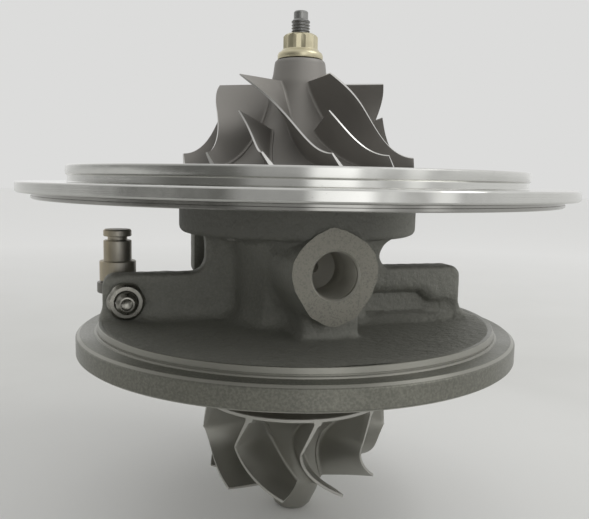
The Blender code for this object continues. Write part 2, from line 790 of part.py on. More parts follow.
def snap_rings():
    """Open rings that keep the floating bearings in place."""
    outer = BEARING_OUTER_R + SNAP_GROOVE
    mesh = bmesh.new()
    rows = []
    for k in range(SNAP_STEPS + 1):
        t = SNAP_MOUTH / 2 + (2 * math.pi - SNAP_MOUTH) * k / SNAP_STEPS
        corners = ((SNAP_INNER_R, 0), (outer, 0), (outer, SNAP_THICK), (SNAP_INNER_R, SNAP_THICK))
        rows.append([mesh.verts.new((r * math.cos(t), r * math.sin(t), z)) for r, z in corners])
    for row, onward in zip(rows, rows[1:]):
        for k in range(4):
            mesh.faces.new((row[k], row[(k + 1) % 4], onward[(k + 1) % 4], onward[k]))
    mesh.faces.new(rows[0])
    mesh.faces.new(reversed(rows[-1]))
    ring = made("snap_ring_1", mesh, SPRING_STEEL)
    copies(ring, "snap_ring_", [(0, 0, low) for low in snap_positions()])


def tube(name, inner, outer, low, high, finish, sides=HUB_SIDES):
    return turned(name, [(inner, low), (outer, low), (outer, high), (inner, high)], finish, sides)


def thrust_z():
    return COUNTERBORE_FLOOR + CLEAR


def deflector_z():
    return thrust_z() + THRUST_THICK + CLEAR


def thrust_stack():
    """Thrust bearing on its two pins, with the oil deflector above it."""
    low = thrust_z()
    outer = COUNTERBORE_R - CLEAR
    bearing = turned("thrust_bearing", [
        (COLLAR_CORE_R + CLEAR, low),
        (outer, low),
        (outer, low + THRUST_THICK),
        (COLLAR_R + THRUST_STEP * 2, low + THRUST_THICK),
        (COLLAR_R + THRUST_STEP, low + THRUST_THICK - CLEAR),
        (COLLAR_CORE_R + CLEAR, low + THRUST_THICK - CLEAR),
    ], BRONZE)
    for x, y in thrust_pin_places():
        hole = rod("thrust_pin_seat", THRUST_PIN_R + CLEAR, low - OVER, low + THRUST_THICK + OVER)
        cut(bearing, at(hole, x, y))
    pin = rod("thrust_pin_1", THRUST_PIN_R, COUNTERBORE_FLOOR - THRUST_PIN_SUNK, low + THRUST_THICK, STEEL)
    copies(pin, "thrust_pin_", [(x, y, 0) for x, y in thrust_pin_places()])
    low = deflector_z()
    hole = SLEEVE_FLANGE_R + CLEAR * 2
    turned("oil_deflector", [
        (hole, low),
        (outer, low),
        (outer, low + DEFLECTOR_THICK),
        (hole + DEFLECTOR_THICK, low + DEFLECTOR_THICK),
        (hole + DEFLECTOR_THICK, low + DEFLECTOR_THICK + DEFLECTOR_RIM),
        (hole, low + DEFLECTOR_THICK + DEFLECTOR_RIM),
    ], STEEL)


def sleeve_z():
    """Underside of the seal sleeve, just above the thrust collar."""
    return thrust_z() + THRUST_THICK + CLEAR


def plate_bore_r():
    return SLEEVE_R + CLEAR


def compressor_backplate():
    """Turned aluminium plate: rim, steps, wheel recess and spigot."""
    recess = WHEEL_BACK - WHEEL_GAP
    recess_r = WHEEL_R + WHEEL_GAP
    spigot_low = deflector_z() + DEFLECTOR_THICK + CLEAR
    spigot_r = COUNTERBORE_R - CLEAR
    groove_z = (spigot_low + PLATE_BOTTOM) / 2
    groove_r = COUNTERBORE_R - CLEAR * 2 - HOUSING_ORING_R * 2
    groove_half = HOUSING_ORING_R + CLEAR
    band_low = PLATE_TOP - STEP_BAND
    plate = turned("compressor_backplate", [
        (plate_bore_r(), SLEEVE_FLANGE + sleeve_z() + CLEAR),
        (spigot_r - SPIGOT_WALL, SLEEVE_FLANGE + sleeve_z() + CLEAR),
        (spigot_r - SPIGOT_WALL, spigot_low),
        (spigot_r, spigot_low),
        (spigot_r, groove_z - groove_half),
        (groove_r, groove_z - groove_half),
        (groove_r, groove_z + groove_half),
        (spigot_r, groove_z + groove_half),
        (spigot_r, PLATE_BOTTOM),
        (PLATE_LOWER_R, PLATE_BOTTOM),
        (PLATE_LOWER_R, RIM_BOTTOM),
        (RIM_R - PLATE_CHAMFER, RIM_BOTTOM),
        (RIM_R, RIM_BOTTOM + PLATE_CHAMFER),
        (RIM_R, RIM_TOP - PLATE_CHAMFER),
        (RIM_R - PLATE_CHAMFER, RIM_TOP),
        (STEP_R - STEP_SETBACK, RIM_TOP),
        (STEP_R - STEP_SETBACK, band_low - STEP_SETBACK),
        (STEP_R, band_low),
        (STEP_R, PLATE_TOP - PLATE_CHAMFER),
        (STEP_R - PLATE_CHAMFER, PLATE_TOP),
        (recess_r, PLATE_TOP),
        (recess_r, recess),
        (plate_bore_r(), recess),
    ], ALUMINIUM, RIM_SIDES)
    for x, y in screw_places():
        head = rod("head_seat", SCREW_HEAD_R + CLEAR, screw_head_z() - CLEAR, WHEEL_BACK)
        hole = rod("plate_hole", SCREW_R + CLEAR, PLATE_BOTTOM - OVER, WHEEL_BACK)
        cut(plate, at(head, x, y), at(hole, x, y))


def screw_head_z():
    return WHEEL_BACK - WHEEL_GAP - CLEAR - SCREW_HEAD


def backplate_screws():
    """Cap screws that hold the backplate to the housing."""
    head = screw_head_z()
    profile = [
        (0, UPPER_TOP - SCREW_REACH),
        (SCREW_R, UPPER_TOP - SCREW_REACH),
        (SCREW_R, head),
        (SCREW_HEAD_R, head),
        (SCREW_HEAD_R, head + SCREW_HEAD),
        (SCREW_SOCKET_R, head + SCREW_HEAD),
        (SCREW_SOCKET_R, head + SCREW_HEAD / 2),
        (0, head + SCREW_HEAD / 2),
    ]
    screw = turned("backplate_screw_1", profile, STEEL, PIN_SIDES)
    copies(screw, "backplate_screw_", [(x, y, 0) for x, y in screw_places()])


def copies(first, name, places):
    """Puts the first piece at the first place and like pieces at the others."""
    first.location = places[0]
    for k, place in enumerate(places[1:], 2):
        more = bpy.data.objects.new(name + str(k), first.data)
        more.location = place
        bpy.context.scene.collection.objects.link(more)


def ring_of_wire(name, radius, wire_r, height, finish, sides=HUB_SIDES):
    turns = [2 * math.pi * k / 6 for k in range(6)]
    profile = [(radius + wire_r * math.cos(t), height + wire_r * math.sin(t)) for t in turns]
    return turned(name, profile, finish, sides)


def housing_oring():
    low = deflector_z() + DEFLECTOR_THICK + CLEAR
    centre = COUNTERBORE_R - CLEAR - HOUSING_ORING_R
    ring_of_wire("housing_oring", centre, HOUSING_ORING_R, (low + PLATE_BOTTOM) / 2, RUBBER)


def heat_shield():
    """Pressed steel dish between the turbine wheel and the housing nose."""
    low = -NOSE_DROP - CLEAR - SHIELD_THICK
    slope = SHIELD_THICK / 2
    turned("heat_shield", [
        (SEAL_HUB_R + CLEAR * 2, low),
        (SHIELD_FLAT_R, low),
        (SHIELD_SEAT_R, CLEAR),
        (SHIELD_RIM_R, CLEAR),
        (SHIELD_RIM_R, CLEAR + SHIELD_THICK),
        (SHIELD_SEAT_R - slope, CLEAR + SHIELD_THICK),
        (SHIELD_FLAT_R - slope, low + SHIELD_THICK),
        (SEAL_HUB_R + CLEAR * 2, low + SHIELD_THICK),
    ], HEAT_STEEL)


def piston_rings():
    """Split sealing rings, sprung into their bores, not turning with the shaft."""
    half = PISTON_RING_THICK / 2
    for name, outer, centre in (
        ("turbine_piston_ring", SEAL_HUB_R, TURBINE_RING_Z),
        ("compressor_piston_ring", SLEEVE_R, sleeve_ring_z()),
    ):
        inner = outer - RING_GROOVE_DEPTH + CLEAR
        tube(name, inner, outer, centre - half, centre + half, SPRING_STEEL, BORE_SIDES)


def sleeve_ring_z():
    return PLATE_BOTTOM + SLEEVE_RING_UP


# Rotor

def ring_groove(hub_r, centre):
    """Outline points of a piston-ring groove in a hub, from low to high."""
    half = PISTON_RING_THICK / 2 + CLEAR
    floor = hub_r - RING_GROOVE_DEPTH
    return [(hub_r, centre - half), (floor, centre - half), (floor, centre + half), (hub_r, centre + half)]


def turbine_hub_curve(steps):
    """Hub line from the rim of the back disc down to the exit."""
    reach_r = TURBINE_DISC_R - TURBINE_HUB_R
    reach_z = TURBINE_DISC_Z - TURBINE_HUB_Z
    turns = [math.pi / 2 * k / steps for k in range(steps + 1)]
    return [(TURBINE_DISC_R - reach_r * math.sin(t), TURBINE_HUB_Z + reach_z * math.cos(t)) for t in turns]


def turbine_shroud_curve(steps):
    """Outer edge line of a turbine blade, from the inlet corner to the exit tip."""
    points = []
    for k in range(steps + 1):
        part = k / steps
        radius = TURBINE_EXIT_R + (TURBINE_TIP_R - TURBINE_EXIT_R) * (1 - part) ** TURBINE_EDGE_POWER
        points.append((radius, TURBINE_CORNER_Z + (TURBINE_EXIT_Z - TURBINE_CORNER_Z) * part))
    return points


def turbine_turn(height):
    """Angle of the turbine blade at a height, the same at every radius."""
    if height > TURBINE_CORNER_Z:
        part = (TURBINE_DISC_Z - height) / (TURBINE_DISC_Z - TURBINE_CORNER_Z)
        return TURBINE_LEAN_START + (TURBINE_LEAN_CORNER - TURBINE_LEAN_START) * part
    part = (TURBINE_CORNER_Z - height) / (TURBINE_CORNER_Z - TURBINE_EXIT_Z)
    return TURBINE_LEAN_CORNER * (1 - part ** TURBINE_LEAN_POWER)


def add_blade(mesh, camber, tip_thick, root_thick, along, across):
    """Closed blade: camber(u, v) is thickened to both sides and capped at its edges."""
    step = 0.001
    sides = []
    for side in (-0.5, 0.5):
        rows = []
        for i in range(along + 1):
            row = []
            for j in range(across + 1):
                u, v = i / along, j / across
                here = camber(u, v)
                run = camber(min(u + step, 1), v) - camber(max(u - step, 0), v)
                rise = camber(u, min(v + step, 1)) - camber(u, max(v - step, 0))
                normal = run.cross(rise).normalized()
                thick = root_thick + (tip_thick - root_thick) * v
                if i == 0:
                    thick *= 0.5
                row.append(mesh.verts.new(here + normal * thick * side))
            rows.append(row)
        sides.append(rows)
    low, high = sides
    for i in range(along):
        for j in range(across):
            mesh.faces.new((low[i][j], low[i + 1][j], low[i + 1][j + 1], low[i][j + 1]))
            mesh.faces.new((high[i][j], high[i][j + 1], high[i + 1][j + 1], high[i + 1][j]))
    edge = [(i, 0) for i in range(along)] + [(along, j) for j in range(across)]
    edge += [(i, across) for i in range(along, 0, -1)] + [(0, j) for j in range(across, 0, -1)]
    for (i, j), (m, n) in zip(edge, edge[1:] + edge[:1]):
        mesh.faces.new((low[i][j], high[i][j], high[m][n], low[m][n]))


def on_curve(points, part):
    """Point at a part of the way along a list of evenly stepped points."""
    place = part * (len(points) - 1)
    k = min(int(place), len(points) - 2)
    low, high = Vector(points[k]), Vector(points[k + 1])
    return low.lerp(high, place - k)


def turbine_blade(first):
    hub = turbine_hub_curve(24)
    shroud = turbine_shroud_curve(24)

    def camber(u, v):
        root = on_curve(hub, u) + TURBINE_BLADE_SUNK * Vector((-u, (1 - u) / 2))
        place = root.lerp(on_curve(shroud, u), v)
        return polar(place.x, first + turbine_turn(place.y), place.y)

    return camber


def shaft_and_turbine_wheel():
    """Cast turbine wheel friction-welded to the ground steel shaft."""
    journal_low = TURBINE_BEARING_Z - CLEAR - SNAP_THICK
    between = TURBINE_BEARING_Z + BEARING_LENGTH
    waist = SHAFT_R - SHAFT_WAIST
    body = turned("shaft_and_turbine_wheel", [
        (0, TURBINE_NOSE_Z),
        (TURBINE_NOSE_R - TURBINE_NOSE_CHAMFER, TURBINE_NOSE_Z),
        (TURBINE_NOSE_R, TURBINE_NOSE_Z + TURBINE_NOSE_CHAMFER),
        (TURBINE_HUB_R - TURBINE_NOSE_TAPER, (TURBINE_NOSE_Z + TURBINE_HUB_Z) / 2),
        (TURBINE_HUB_R - CLEAR, TURBINE_HUB_Z - TURBINE_NOSE_SHOULDER),
        *reversed(turbine_hub_curve(5)),
        (TURBINE_DISC_R, TURBINE_DISC_Z + TURBINE_DISC_THICK),
        (SEAL_HUB_R + TURBINE_BACK_REACH, TURBINE_BACK_Z - CLEAR),
        (SEAL_HUB_R, TURBINE_BACK_Z),
        *ring_groove(SEAL_HUB_R, TURBINE_RING_Z),
        (SEAL_HUB_R, SEAL_HUB_TOP),
        (SHAFT_R, SEAL_HUB_TOP + SEAL_HUB_SLOPE),
        (SHAFT_R, journal_low),
        (SHAFT_R, between + CLEAR),
        (waist, between + CLEAR * 3),
        (waist, COMPRESSOR_BEARING_Z - CLEAR * 3),
        (SHAFT_R, COMPRESSOR_BEARING_Z - CLEAR),
        (SHAFT_R, SHAFT_SHOULDER),
        (SHAFT_THIN_R, SHAFT_SHOULDER),
        (SHAFT_THIN_R, THREAD_TOP - THREAD_CHAMFER),
        (STUB_R, THREAD_TOP),
        (STUB_R, STUB_TOP - STUB_CHAMFER),
        (STUB_R - STUB_CHAMFER, STUB_TOP),
        (0, STUB_TOP),
    ], NICKEL_ALLOY, HOLE_SIDES)
    blades = bmesh.new()
    for k in range(TURBINE_BLADES):
        first = TURBINE_START + 2 * math.pi * k / TURBINE_BLADES
        add_blade(blades, turbine_blade(first), TURBINE_TIP_THICK, TURBINE_ROOT_THICK, 6, 2)
    join(body, made("turbine_blades", blades))
    return body


def wheel_hub_curve(steps):
    """Hub line of the compressor wheel, from the inducer out to the rim."""
    rim_z = WHEEL_BACK + WHEEL_RIM
    reach_r = WHEEL_R - INDUCER_HUB_R
    reach_z = INDUCER_Z - rim_z
    turns = [math.pi / 2 * k / steps for k in range(steps + 1)]
    return [(WHEEL_R - reach_r * math.cos(t), INDUCER_Z - reach_z * math.sin(t)) for t in turns]


def wheel_shroud_curve(steps):
    """Outer edge line of a compressor blade: straight down, then out to the tip."""
    reach_r = WHEEL_R - INDUCER_R
    reach_z = SHROUD_BEND - EXDUCER_TIP
    fine = [(INDUCER_R, INDUCER_Z)]
    fine += [(WHEEL_R - reach_r * math.cos(t), SHROUD_BEND - reach_z * math.sin(t))
             for t in (math.pi / 2 * k / 40 for k in range(41))]
    lengths = [0.0]
    for low, high in zip(fine, fine[1:]):
        lengths.append(lengths[-1] + (Vector(high) - Vector(low)).length)
    points = []
    for k in range(steps + 1):
        wanted = lengths[-1] * k / steps
        n = max(i for i, length in enumerate(lengths[:-1]) if length <= wanted)
        part = (wanted - lengths[n]) / (lengths[n + 1] - lengths[n])
        points.append(tuple(Vector(fine[n]).lerp(Vector(fine[n + 1]), part)))
    return points


def compressor_turn(part):
    """Angle of the compressor blade along its length: steep at first, backswept at the end."""
    return BLADE_WRAP * sum(share * part ** (k + 1) for k, share in enumerate(BLADE_COURSE))


def compressor_blade(first, begin):
    hub = wheel_hub_curve(30)
    shroud = wheel_shroud_curve(30)

    def camber(u, v):
        part = begin + (1 - begin) * u
        turn = first + compressor_turn(part) + BLADE_LEAN * part * (1 - v)
        root = on_curve(hub, part) - BLADE_SUNK * Vector((1 - part, part))
        place = root.lerp(on_curve(shroud, part), v)
        return polar(place.x, turn, place.y)

    return camber


def compressor_wheel():
    """Milled aluminium wheel with full blades and splitters between them."""
    bore_r = SHAFT_THIN_R + CLEAR
    body = turned("compressor_wheel", [
        (bore_r, WHEEL_BACK),
        (WHEEL_R, WHEEL_BACK),
        *reversed(wheel_hub_curve(6)),
        (WHEEL_NOSE_R + CLEAR, WHEEL_TOP - WHEEL_NOSE_LENGTH),
        (WHEEL_NOSE_R, WHEEL_TOP - WHEEL_NOSE_CHAMFER),
        (WHEEL_NOSE_R - WHEEL_NOSE_CHAMFER, WHEEL_TOP),
        (bore_r, WHEEL_TOP),
    ], BLADE_ALUMINIUM, FLANGE_SIDES)
    blades = bmesh.new()
    pitch = 2 * math.pi / BLADE_PAIRS
    for k in range(BLADE_PAIRS):
        first = BLADE_START + pitch * k
        add_blade(blades, compressor_blade(first, 0.0), BLADE_TIP_THICK, BLADE_ROOT_THICK, 8, 2)
        splitter = compressor_blade(first + pitch / 2, SPLITTER_CUT)
        add_blade(blades, splitter, BLADE_TIP_THICK, BLADE_ROOT_THICK, 5, 2)
    join(body, made("compressor_blades", blades))
    return body


def rotor_nut():
    """Flanged double-hexagon nut with a chamfered top."""
    low = WHEEL_TOP + CLEAR
    top = low + NUT_HEIGHT
    seat = low + NUT_FLANGE + NUT_CONE
    bore_r = SHAFT_THIN_R + CLEAR
    point_r = NUT_ACROSS / math.sqrt(3)
    notch_r = NUT_ACROSS / 2 / math.cos(math.pi / NUT_POINTS)
    nut = turned("rotor_nut", [
        (bore_r, low),
        (NUT_FLANGE_R, low),
        (NUT_FLANGE_R, low + NUT_FLANGE),
        (point_r + CLEAR / 3, seat),
        ((point_r, notch_r), seat),
        ((point_r, notch_r), top - NUT_CHAMFER),
        (NUT_TOP_R, top),
        (bore_r, top),
    ], YELLOW_ZINC, NUT_POINTS * 2)
    nut.rotation_euler.z = -math.pi / NUT_POINTS / 2
    return nut


def rotor_spacers():
    """Thrust collar and seal sleeve, clamped between the shoulder and the wheel."""
    bore_r = SHAFT_THIN_R + CLEAR
    low = SHAFT_SHOULDER + CLEAR
    collar_top = sleeve_z() - CLEAR
    collar = turned("thrust_collar", [
        (bore_r, low),
        (COLLAR_R, low),
        (COLLAR_R, low + COLLAR_FLANGE),
        (COLLAR_CORE_R, low + COLLAR_FLANGE),
        (COLLAR_CORE_R, collar_top),
        (bore_r, collar_top),
    ], STEEL, BORE_SIDES)
    low = sleeve_z()
    top = WHEEL_BACK - CLEAR
    sleeve = turned("seal_sleeve", [
        (bore_r, low),
        (SLEEVE_FLANGE_R, low),
        (SLEEVE_FLANGE_R, low + SLEEVE_FLANGE),
        (SLEEVE_R, low + SLEEVE_FLANGE),
        *ring_groove(SLEEVE_R, sleeve_ring_z()),
        (SLEEVE_R, top),
        (bore_r, top),
    ], STEEL, BORE_SIDES)
    return collar, sleeve


def rotor():
    axis = bpy.data.objects.new("rotor_axis", None)
    bpy.context.scene.collection.objects.link(axis)
    for piece in (shaft_and_turbine_wheel(), compressor_wheel(), rotor_nut(), *rotor_spacers()):
        piece.parent = axis


def journal_bearings():
    """Floating bronze rings, chamfered inside and out."""
    inner = SHAFT_R + CLEAR
    outer = BEARING_OUTER_R
    for name, low in (
        ("turbine_side_bearing", TURBINE_BEARING_Z),
        ("compressor_side_bearing", COMPRESSOR_BEARING_Z),
    ):
        high = low + BEARING_LENGTH
        turned(name, [
            (inner + BEARING_CHAMFER, low),
            (outer - BEARING_CHAMFER, low),
            (outer, low + BEARING_CHAMFER),
            (outer, high - BEARING_CHAMFER),
            (outer - BEARING_CHAMFER, high),
            (inner + BEARING_CHAMFER, high),
            (inner, high - BEARING_CHAMFER),
            (inner, low + BEARING_CHAMFER),
        ], BRONZE, BORE_SIDES)


# Crank of the variable nozzle

def crank_bush():
    inner = CRANK_SHAFT_R + CLEAR
    top = BUSH_BOSS_TOP + BUSH_PROUD
    bush = tube("crank_bush", inner, inner + BUSH_WALL, -BUSH_PROUD, top, BUSH_STEEL, BORE_SIDES)
    at(bush, CRANK_X, CRANK_Y)


def crank():
    """Outer arm with the actuator pin, shaft through the flange, and inner arm."""
    axis = bpy.data.objects.new("crank_axis", None)
    axis.location = (CRANK_X, CRANK_Y, 0)
    bpy.context.scene.collection.objects.link(axis)
    pin_at = Vector((PIN_X - CRANK_X, PIN_Y - CRANK_Y))
    inner_at = -Vector((CRANK_X, CRANK_Y)).normalized() * INNER_REACH
    pieces = (crank_shaft(), crank_arm(pin_at), actuator_pin(pin_at), inner_arm(inner_at))
    for piece in pieces:
        piece.parent = axis


def crank_shaft():
    """Stepped pin with a neck at each end for the two arms."""
    reach = INNER_THICK / 2 + CLEAR
    rivet_top = ARM_PLATE_Z + ARM_PLATE_THICK + RIVET_HEAD
    return turned("crank_shaft", [
        (0, INNER_Z - reach),
        (CRANK_NECK_R, INNER_Z - reach),
        (CRANK_NECK_R, INNER_Z + reach),
        (CRANK_SHAFT_R, INNER_Z + reach),
        (CRANK_SHAFT_R, ARM_PLATE_Z - CLEAR),
        (CRANK_NECK_R, ARM_PLATE_Z - CLEAR),
        (CRANK_NECK_R, rivet_top - RIVET_HEAD / 2),
        (RIVET_R, rivet_top),
        (0, rivet_top),
    ], STEEL, BORE_SIDES)


def crank_arm(pin_at):
    outline = lens(ARM_HUB_R, (0, 0), ARM_EYE_R, tuple(pin_at))
    arm = at(prism("crank_arm", outline, ARM_PLATE_THICK, STEEL), 0, 0, ARM_PLATE_Z)
    low = ARM_PLATE_Z - OVER
    top = ARM_PLATE_Z + ARM_PLATE_THICK + OVER
    shaft_hole = at(rod("shaft_hole", CRANK_NECK_R + CLEAR, low, top), CRANK_X, CRANK_Y)
    pin_hole = at(rod("pin_hole", PIN_TAIL_R + CLEAR, low, top), PIN_X, PIN_Y)
    cut(arm, shaft_hole, pin_hole)
    return arm


def actuator_pin(pin_at):
    """Stepped pin riveted into the arm, grooved for the rod clip."""
    seat = ARM_PLATE_Z + ARM_PLATE_THICK + CLEAR
    groove_top = PIN_GROOVE_Z + PIN_GROOVE_WIDTH
    return at(turned("actuator_pin", [
        (0, ARM_PLATE_Z - CLEAR),
        (PIN_TAIL_R, ARM_PLATE_Z - CLEAR),
        (PIN_TAIL_R, seat),
        (PIN_BASE_R, seat),
        (PIN_BASE_R, PIN_BASE_TOP - PIN_CHAMFER / 2),
        (PIN_BASE_R - PIN_CHAMFER / 2, PIN_BASE_TOP),
        (PIN_R, PIN_BASE_TOP),
        (PIN_R, PIN_GROOVE_Z),
        (PIN_GROOVE_R, PIN_GROOVE_Z + PIN_GROOVE_SLOPE),
        (PIN_GROOVE_R, groove_top - PIN_GROOVE_SLOPE),
        (PIN_R, groove_top),
        (PIN_R, PIN_TOP - PIN_CHAMFER),
        (PIN_R - PIN_CHAMFER, PIN_TOP),
        (0, PIN_TOP),
    ], PIN_STEEL, BORE_SIDES), *pin_at)


def inner_arm(inner_at):
    """Short arm below the flange, with the pin that moves the nozzle ring."""
    outline = lens(INNER_HUB_R, (0, 0), INNER_EYE_R, tuple(inner_at))
    arm = at(prism("inner_crank_arm", outline, INNER_THICK, STEEL), 0, 0, INNER_Z - INNER_THICK / 2)
    low = INNER_Z - INNER_THICK / 2 - INNER_PIN_DROP
    nub = rod("ring_pin", INNER_PIN_R, low, INNER_Z, sides=BORE_SIDES)
    place = Vector((CRANK_X, CRANK_Y)) + inner_at
    join(arm, at(nub, *place))
    hole = rod("inner_shaft_hole", CRANK_NECK_R + CLEAR, low, INNER_Z + INNER_THICK, sides=HOLE_SIDES)
    cut(arm, at(hole, CRANK_X, CRANK_Y))
    return arm


def arm_edge_y():
    """Front of the outer arm where the stop screw meets it, in the resting position."""
    start, end = Vector((CRANK_X, CRANK_Y)), Vector((PIN_X, PIN_Y))
    along = end - start
    lean = math.acos((ARM_HUB_R - ARM_EYE_R) / along.length)
    heading = math.atan2(along.y, along.x)
    reach = math.sqrt(max(ARM_EYE_R ** 2 - (STOP_X - PIN_X) ** 2, 0))
    eye_front = PIN_Y - reach
    side = heading + lean
    normal = Vector((math.cos(side), math.sin(side)))
    flank_point = end + normal * ARM_EYE_R
    if normal.y < 0 and STOP_X > flank_point.x:
        return flank_point.y - (STOP_X - flank_point.x) * normal.x / normal.y
    return eye_front


def stop_screw():
    """Set screw that limits the crank, with a socket in its outer end."""
    tip = arm_edge_y() - CLEAR
    head = WEB_FRONT - STOP_PROUD
    length = tip - head
    screw = turned("stop_screw", [
        (0, 0),
        (STOP_POINT_R, 0),
        (STOP_R, STOP_R - STOP_POINT_R),
        (STOP_R, length - STOP_CHAMFER),
        (STOP_R - STOP_CHAMFER, length),
        (STOP_SOCKET_R, length),
        (STOP_SOCKET_R, length - STOP_SOCKET_DEPTH),
        (0, length - STOP_SOCKET_DEPTH),
    ], STOP_STEEL, PIN_SIDES)
    facing_front(screw, STOP_X, tip, STOP_Z)


def stop_screw_nut():
    """Thin hexagon lock nut, its corners turned off at the front."""
    hole_r = STOP_R + CLEAR
    outside = LOCK_ACROSS / math.sqrt(3) + CLEAR / 2
    high = CLEAR + LOCK_HEIGHT
    nut = turned("stop_screw_nut", [
        (hole_r, CLEAR),
        (outside - CLEAR, CLEAR),
        (outside, CLEAR * 2),
        (outside, high - LOCK_CHAMFER),
        (LOCK_ACROSS / 2 - CLEAR, high),
        (hole_r, high),
    ], STOP_STEEL, BORE_SIDES)
    facing_front(nut, STOP_X, WEB_FRONT, STOP_Z)
    flats = prism("lock_flats", hexagon(LOCK_ACROSS), LOCK_HEIGHT * 2)
    facing_front(flats, STOP_X, WEB_FRONT + OVER, STOP_Z)
    keep = nut.modifiers.new("hexagon", "BOOLEAN")
    keep.operation = "INTERSECT"
    keep.solver = "EXACT"
    keep.object = flats
    hide(flats)


clear_scene()

CAST_IRON = metal("Cast iron", (0.055, 0.054, 0.050), 0.62)
ALUMINIUM = metal("Turned aluminium", (0.62, 0.62, 0.60), 0.28)
BLADE_ALUMINIUM = metal("Milled aluminium", (0.16, 0.155, 0.15), 0.42)
NICKEL_ALLOY = metal("Nickel alloy", (0.08, 0.078, 0.075), 0.5)
STEEL = metal("Steel", (0.30, 0.30, 0.29), 0.35)
SPRING_STEEL = metal("Spring steel", (0.12, 0.12, 0.13), 0.35)
HEAT_STEEL = metal("Scaled steel sheet", (0.10, 0.09, 0.08), 0.55)
BUSH_STEEL = metal("Bush steel", (0.18, 0.17, 0.16), 0.45)
PIN_STEEL = metal("Heat-tinted steel", (0.17, 0.14, 0.115), 0.4)
STOP_STEEL = metal("Bright plated steel", (0.36, 0.35, 0.34), 0.3)
YELLOW_ZINC = metal("Yellow zinc plate", (0.50, 0.38, 0.14), 0.35)
BRONZE = metal("Bearing bronze", (0.50, 0.33, 0.14), 0.35)
RUBBER = metal("Black rubber", (0.012, 0.012, 0.012), 0.7, 0.0)

bearing_housing()
locating_dowel()
snap_rings()
thrust_stack()
compressor_backplate()
backplate_screws()
housing_oring()
heat_shield()
piston_rings()
rotor()
journal_bearings()
crank_bush()
crank()
stop_screw()
stop_screw_nut()
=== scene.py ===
"""Turbocharger cartridge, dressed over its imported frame.

The rotor turns about Z, the oil inlet faces -Y, and lengths below are in millimetres
until a mesh is made of them.
"""

import math

import bmesh
import bpy
import numpy as np
from mathutils import Euler, Matrix, Vector


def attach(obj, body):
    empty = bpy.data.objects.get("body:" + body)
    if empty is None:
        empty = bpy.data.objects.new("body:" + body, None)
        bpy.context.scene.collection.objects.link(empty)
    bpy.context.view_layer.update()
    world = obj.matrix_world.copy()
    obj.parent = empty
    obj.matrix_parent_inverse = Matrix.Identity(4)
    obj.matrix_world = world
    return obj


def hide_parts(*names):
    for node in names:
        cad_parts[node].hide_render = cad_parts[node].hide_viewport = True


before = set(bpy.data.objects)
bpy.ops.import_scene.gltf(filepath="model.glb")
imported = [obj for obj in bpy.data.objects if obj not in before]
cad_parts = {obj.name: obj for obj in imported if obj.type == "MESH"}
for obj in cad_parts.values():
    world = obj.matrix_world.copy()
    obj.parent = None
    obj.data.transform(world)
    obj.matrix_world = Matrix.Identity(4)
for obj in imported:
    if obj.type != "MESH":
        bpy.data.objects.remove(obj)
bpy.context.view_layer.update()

# Camera
# It stands in front of the cartridge, a little to the left of the oil inlet,
# about 170 mm from the rotor axis, and looks slightly down.
MM = 0.001
LENS_PIXELS = 677.2
PICTURE_WIDTH = 589
CAMERA_TURN = 16.5
CAMERA_DIP = 6.71
CAMERA_ROLL = 1.06

lens = bpy.data.cameras.new("camera")
lens.sensor_fit = "HORIZONTAL"
lens.sensor_width = 36
lens.lens = lens.sensor_width * LENS_PIXELS / PICTURE_WIDTH
lens.clip_start = 0.01
camera = bpy.data.objects.new("camera", lens)
bpy.context.scene.collection.objects.link(camera)
camera.matrix_world = (
    Matrix.Rotation(math.radians(-CAMERA_TURN), 4, "Z")
    @ Matrix.Translation(Vector((-0.47, -168.15, 41.07)) * MM)
    @ Matrix.Rotation(math.radians(90 - CAMERA_DIP), 4, "X")
    @ Matrix.Rotation(math.radians(CAMERA_ROLL), 4, "Z")
)
bpy.context.scene.camera = camera


# Studio
# The cartridge stands on white paper in an even pale room that is darker towards
# the camera, with one soft lamp high on the right.
FLOOR_Z = -42.3
FLOOR_HALF = 4000
FLOOR_FRONT = 400


def tint(code):
    """Linear colour of an sRGB hex code."""
    parts = [int(code[k:k + 2], 16) / 255 for k in (1, 3, 5)]
    line = [p / 12.92 if p <= 0.04045 else ((p + 0.055) / 1.055) ** 2.4 for p in parts]
    return (*line, 1.0)


def add(tree, kind, feeds=(), settings=None, **inputs):
    """Adds a node: feeds go to its inputs in order, and other inputs go by name."""
    node = tree.nodes.new(kind)
    for name, value in (settings or {}).items():
        setattr(node, name, value)
    named = [(name.replace("_", " "), value) for name, value in inputs.items()]
    for key, value in list(enumerate(feeds)) + named:
        if isinstance(value, bpy.types.NodeSocket):
            tree.links.new(value, node.inputs[key])
        elif value is not None:
            node.inputs[key].default_value = value
    return node


def fresh(name):
    """Empty material and its node tree."""
    finish = bpy.data.materials.new(name)
    finish.use_nodes = True
    finish.node_tree.nodes.clear()
    return finish, finish.node_tree


def piece(name, points, faces, *finishes):
    """Object of points in millimetres, smooth where it is round."""
    data = bpy.data.meshes.new(name)
    data.from_pydata([tuple(p) for p in np.asarray(points, dtype=float) * MM], [], faces)
    data.validate()
    for finish in finishes:
        data.materials.append(finish)
    made = bpy.data.objects.new(name, data)
    bpy.context.scene.collection.objects.link(made)
    soften(made)
    return made


def soften(made, angle=35):
    made.data.shade_smooth()
    made.data.set_sharp_from_angle(angle=math.radians(angle))


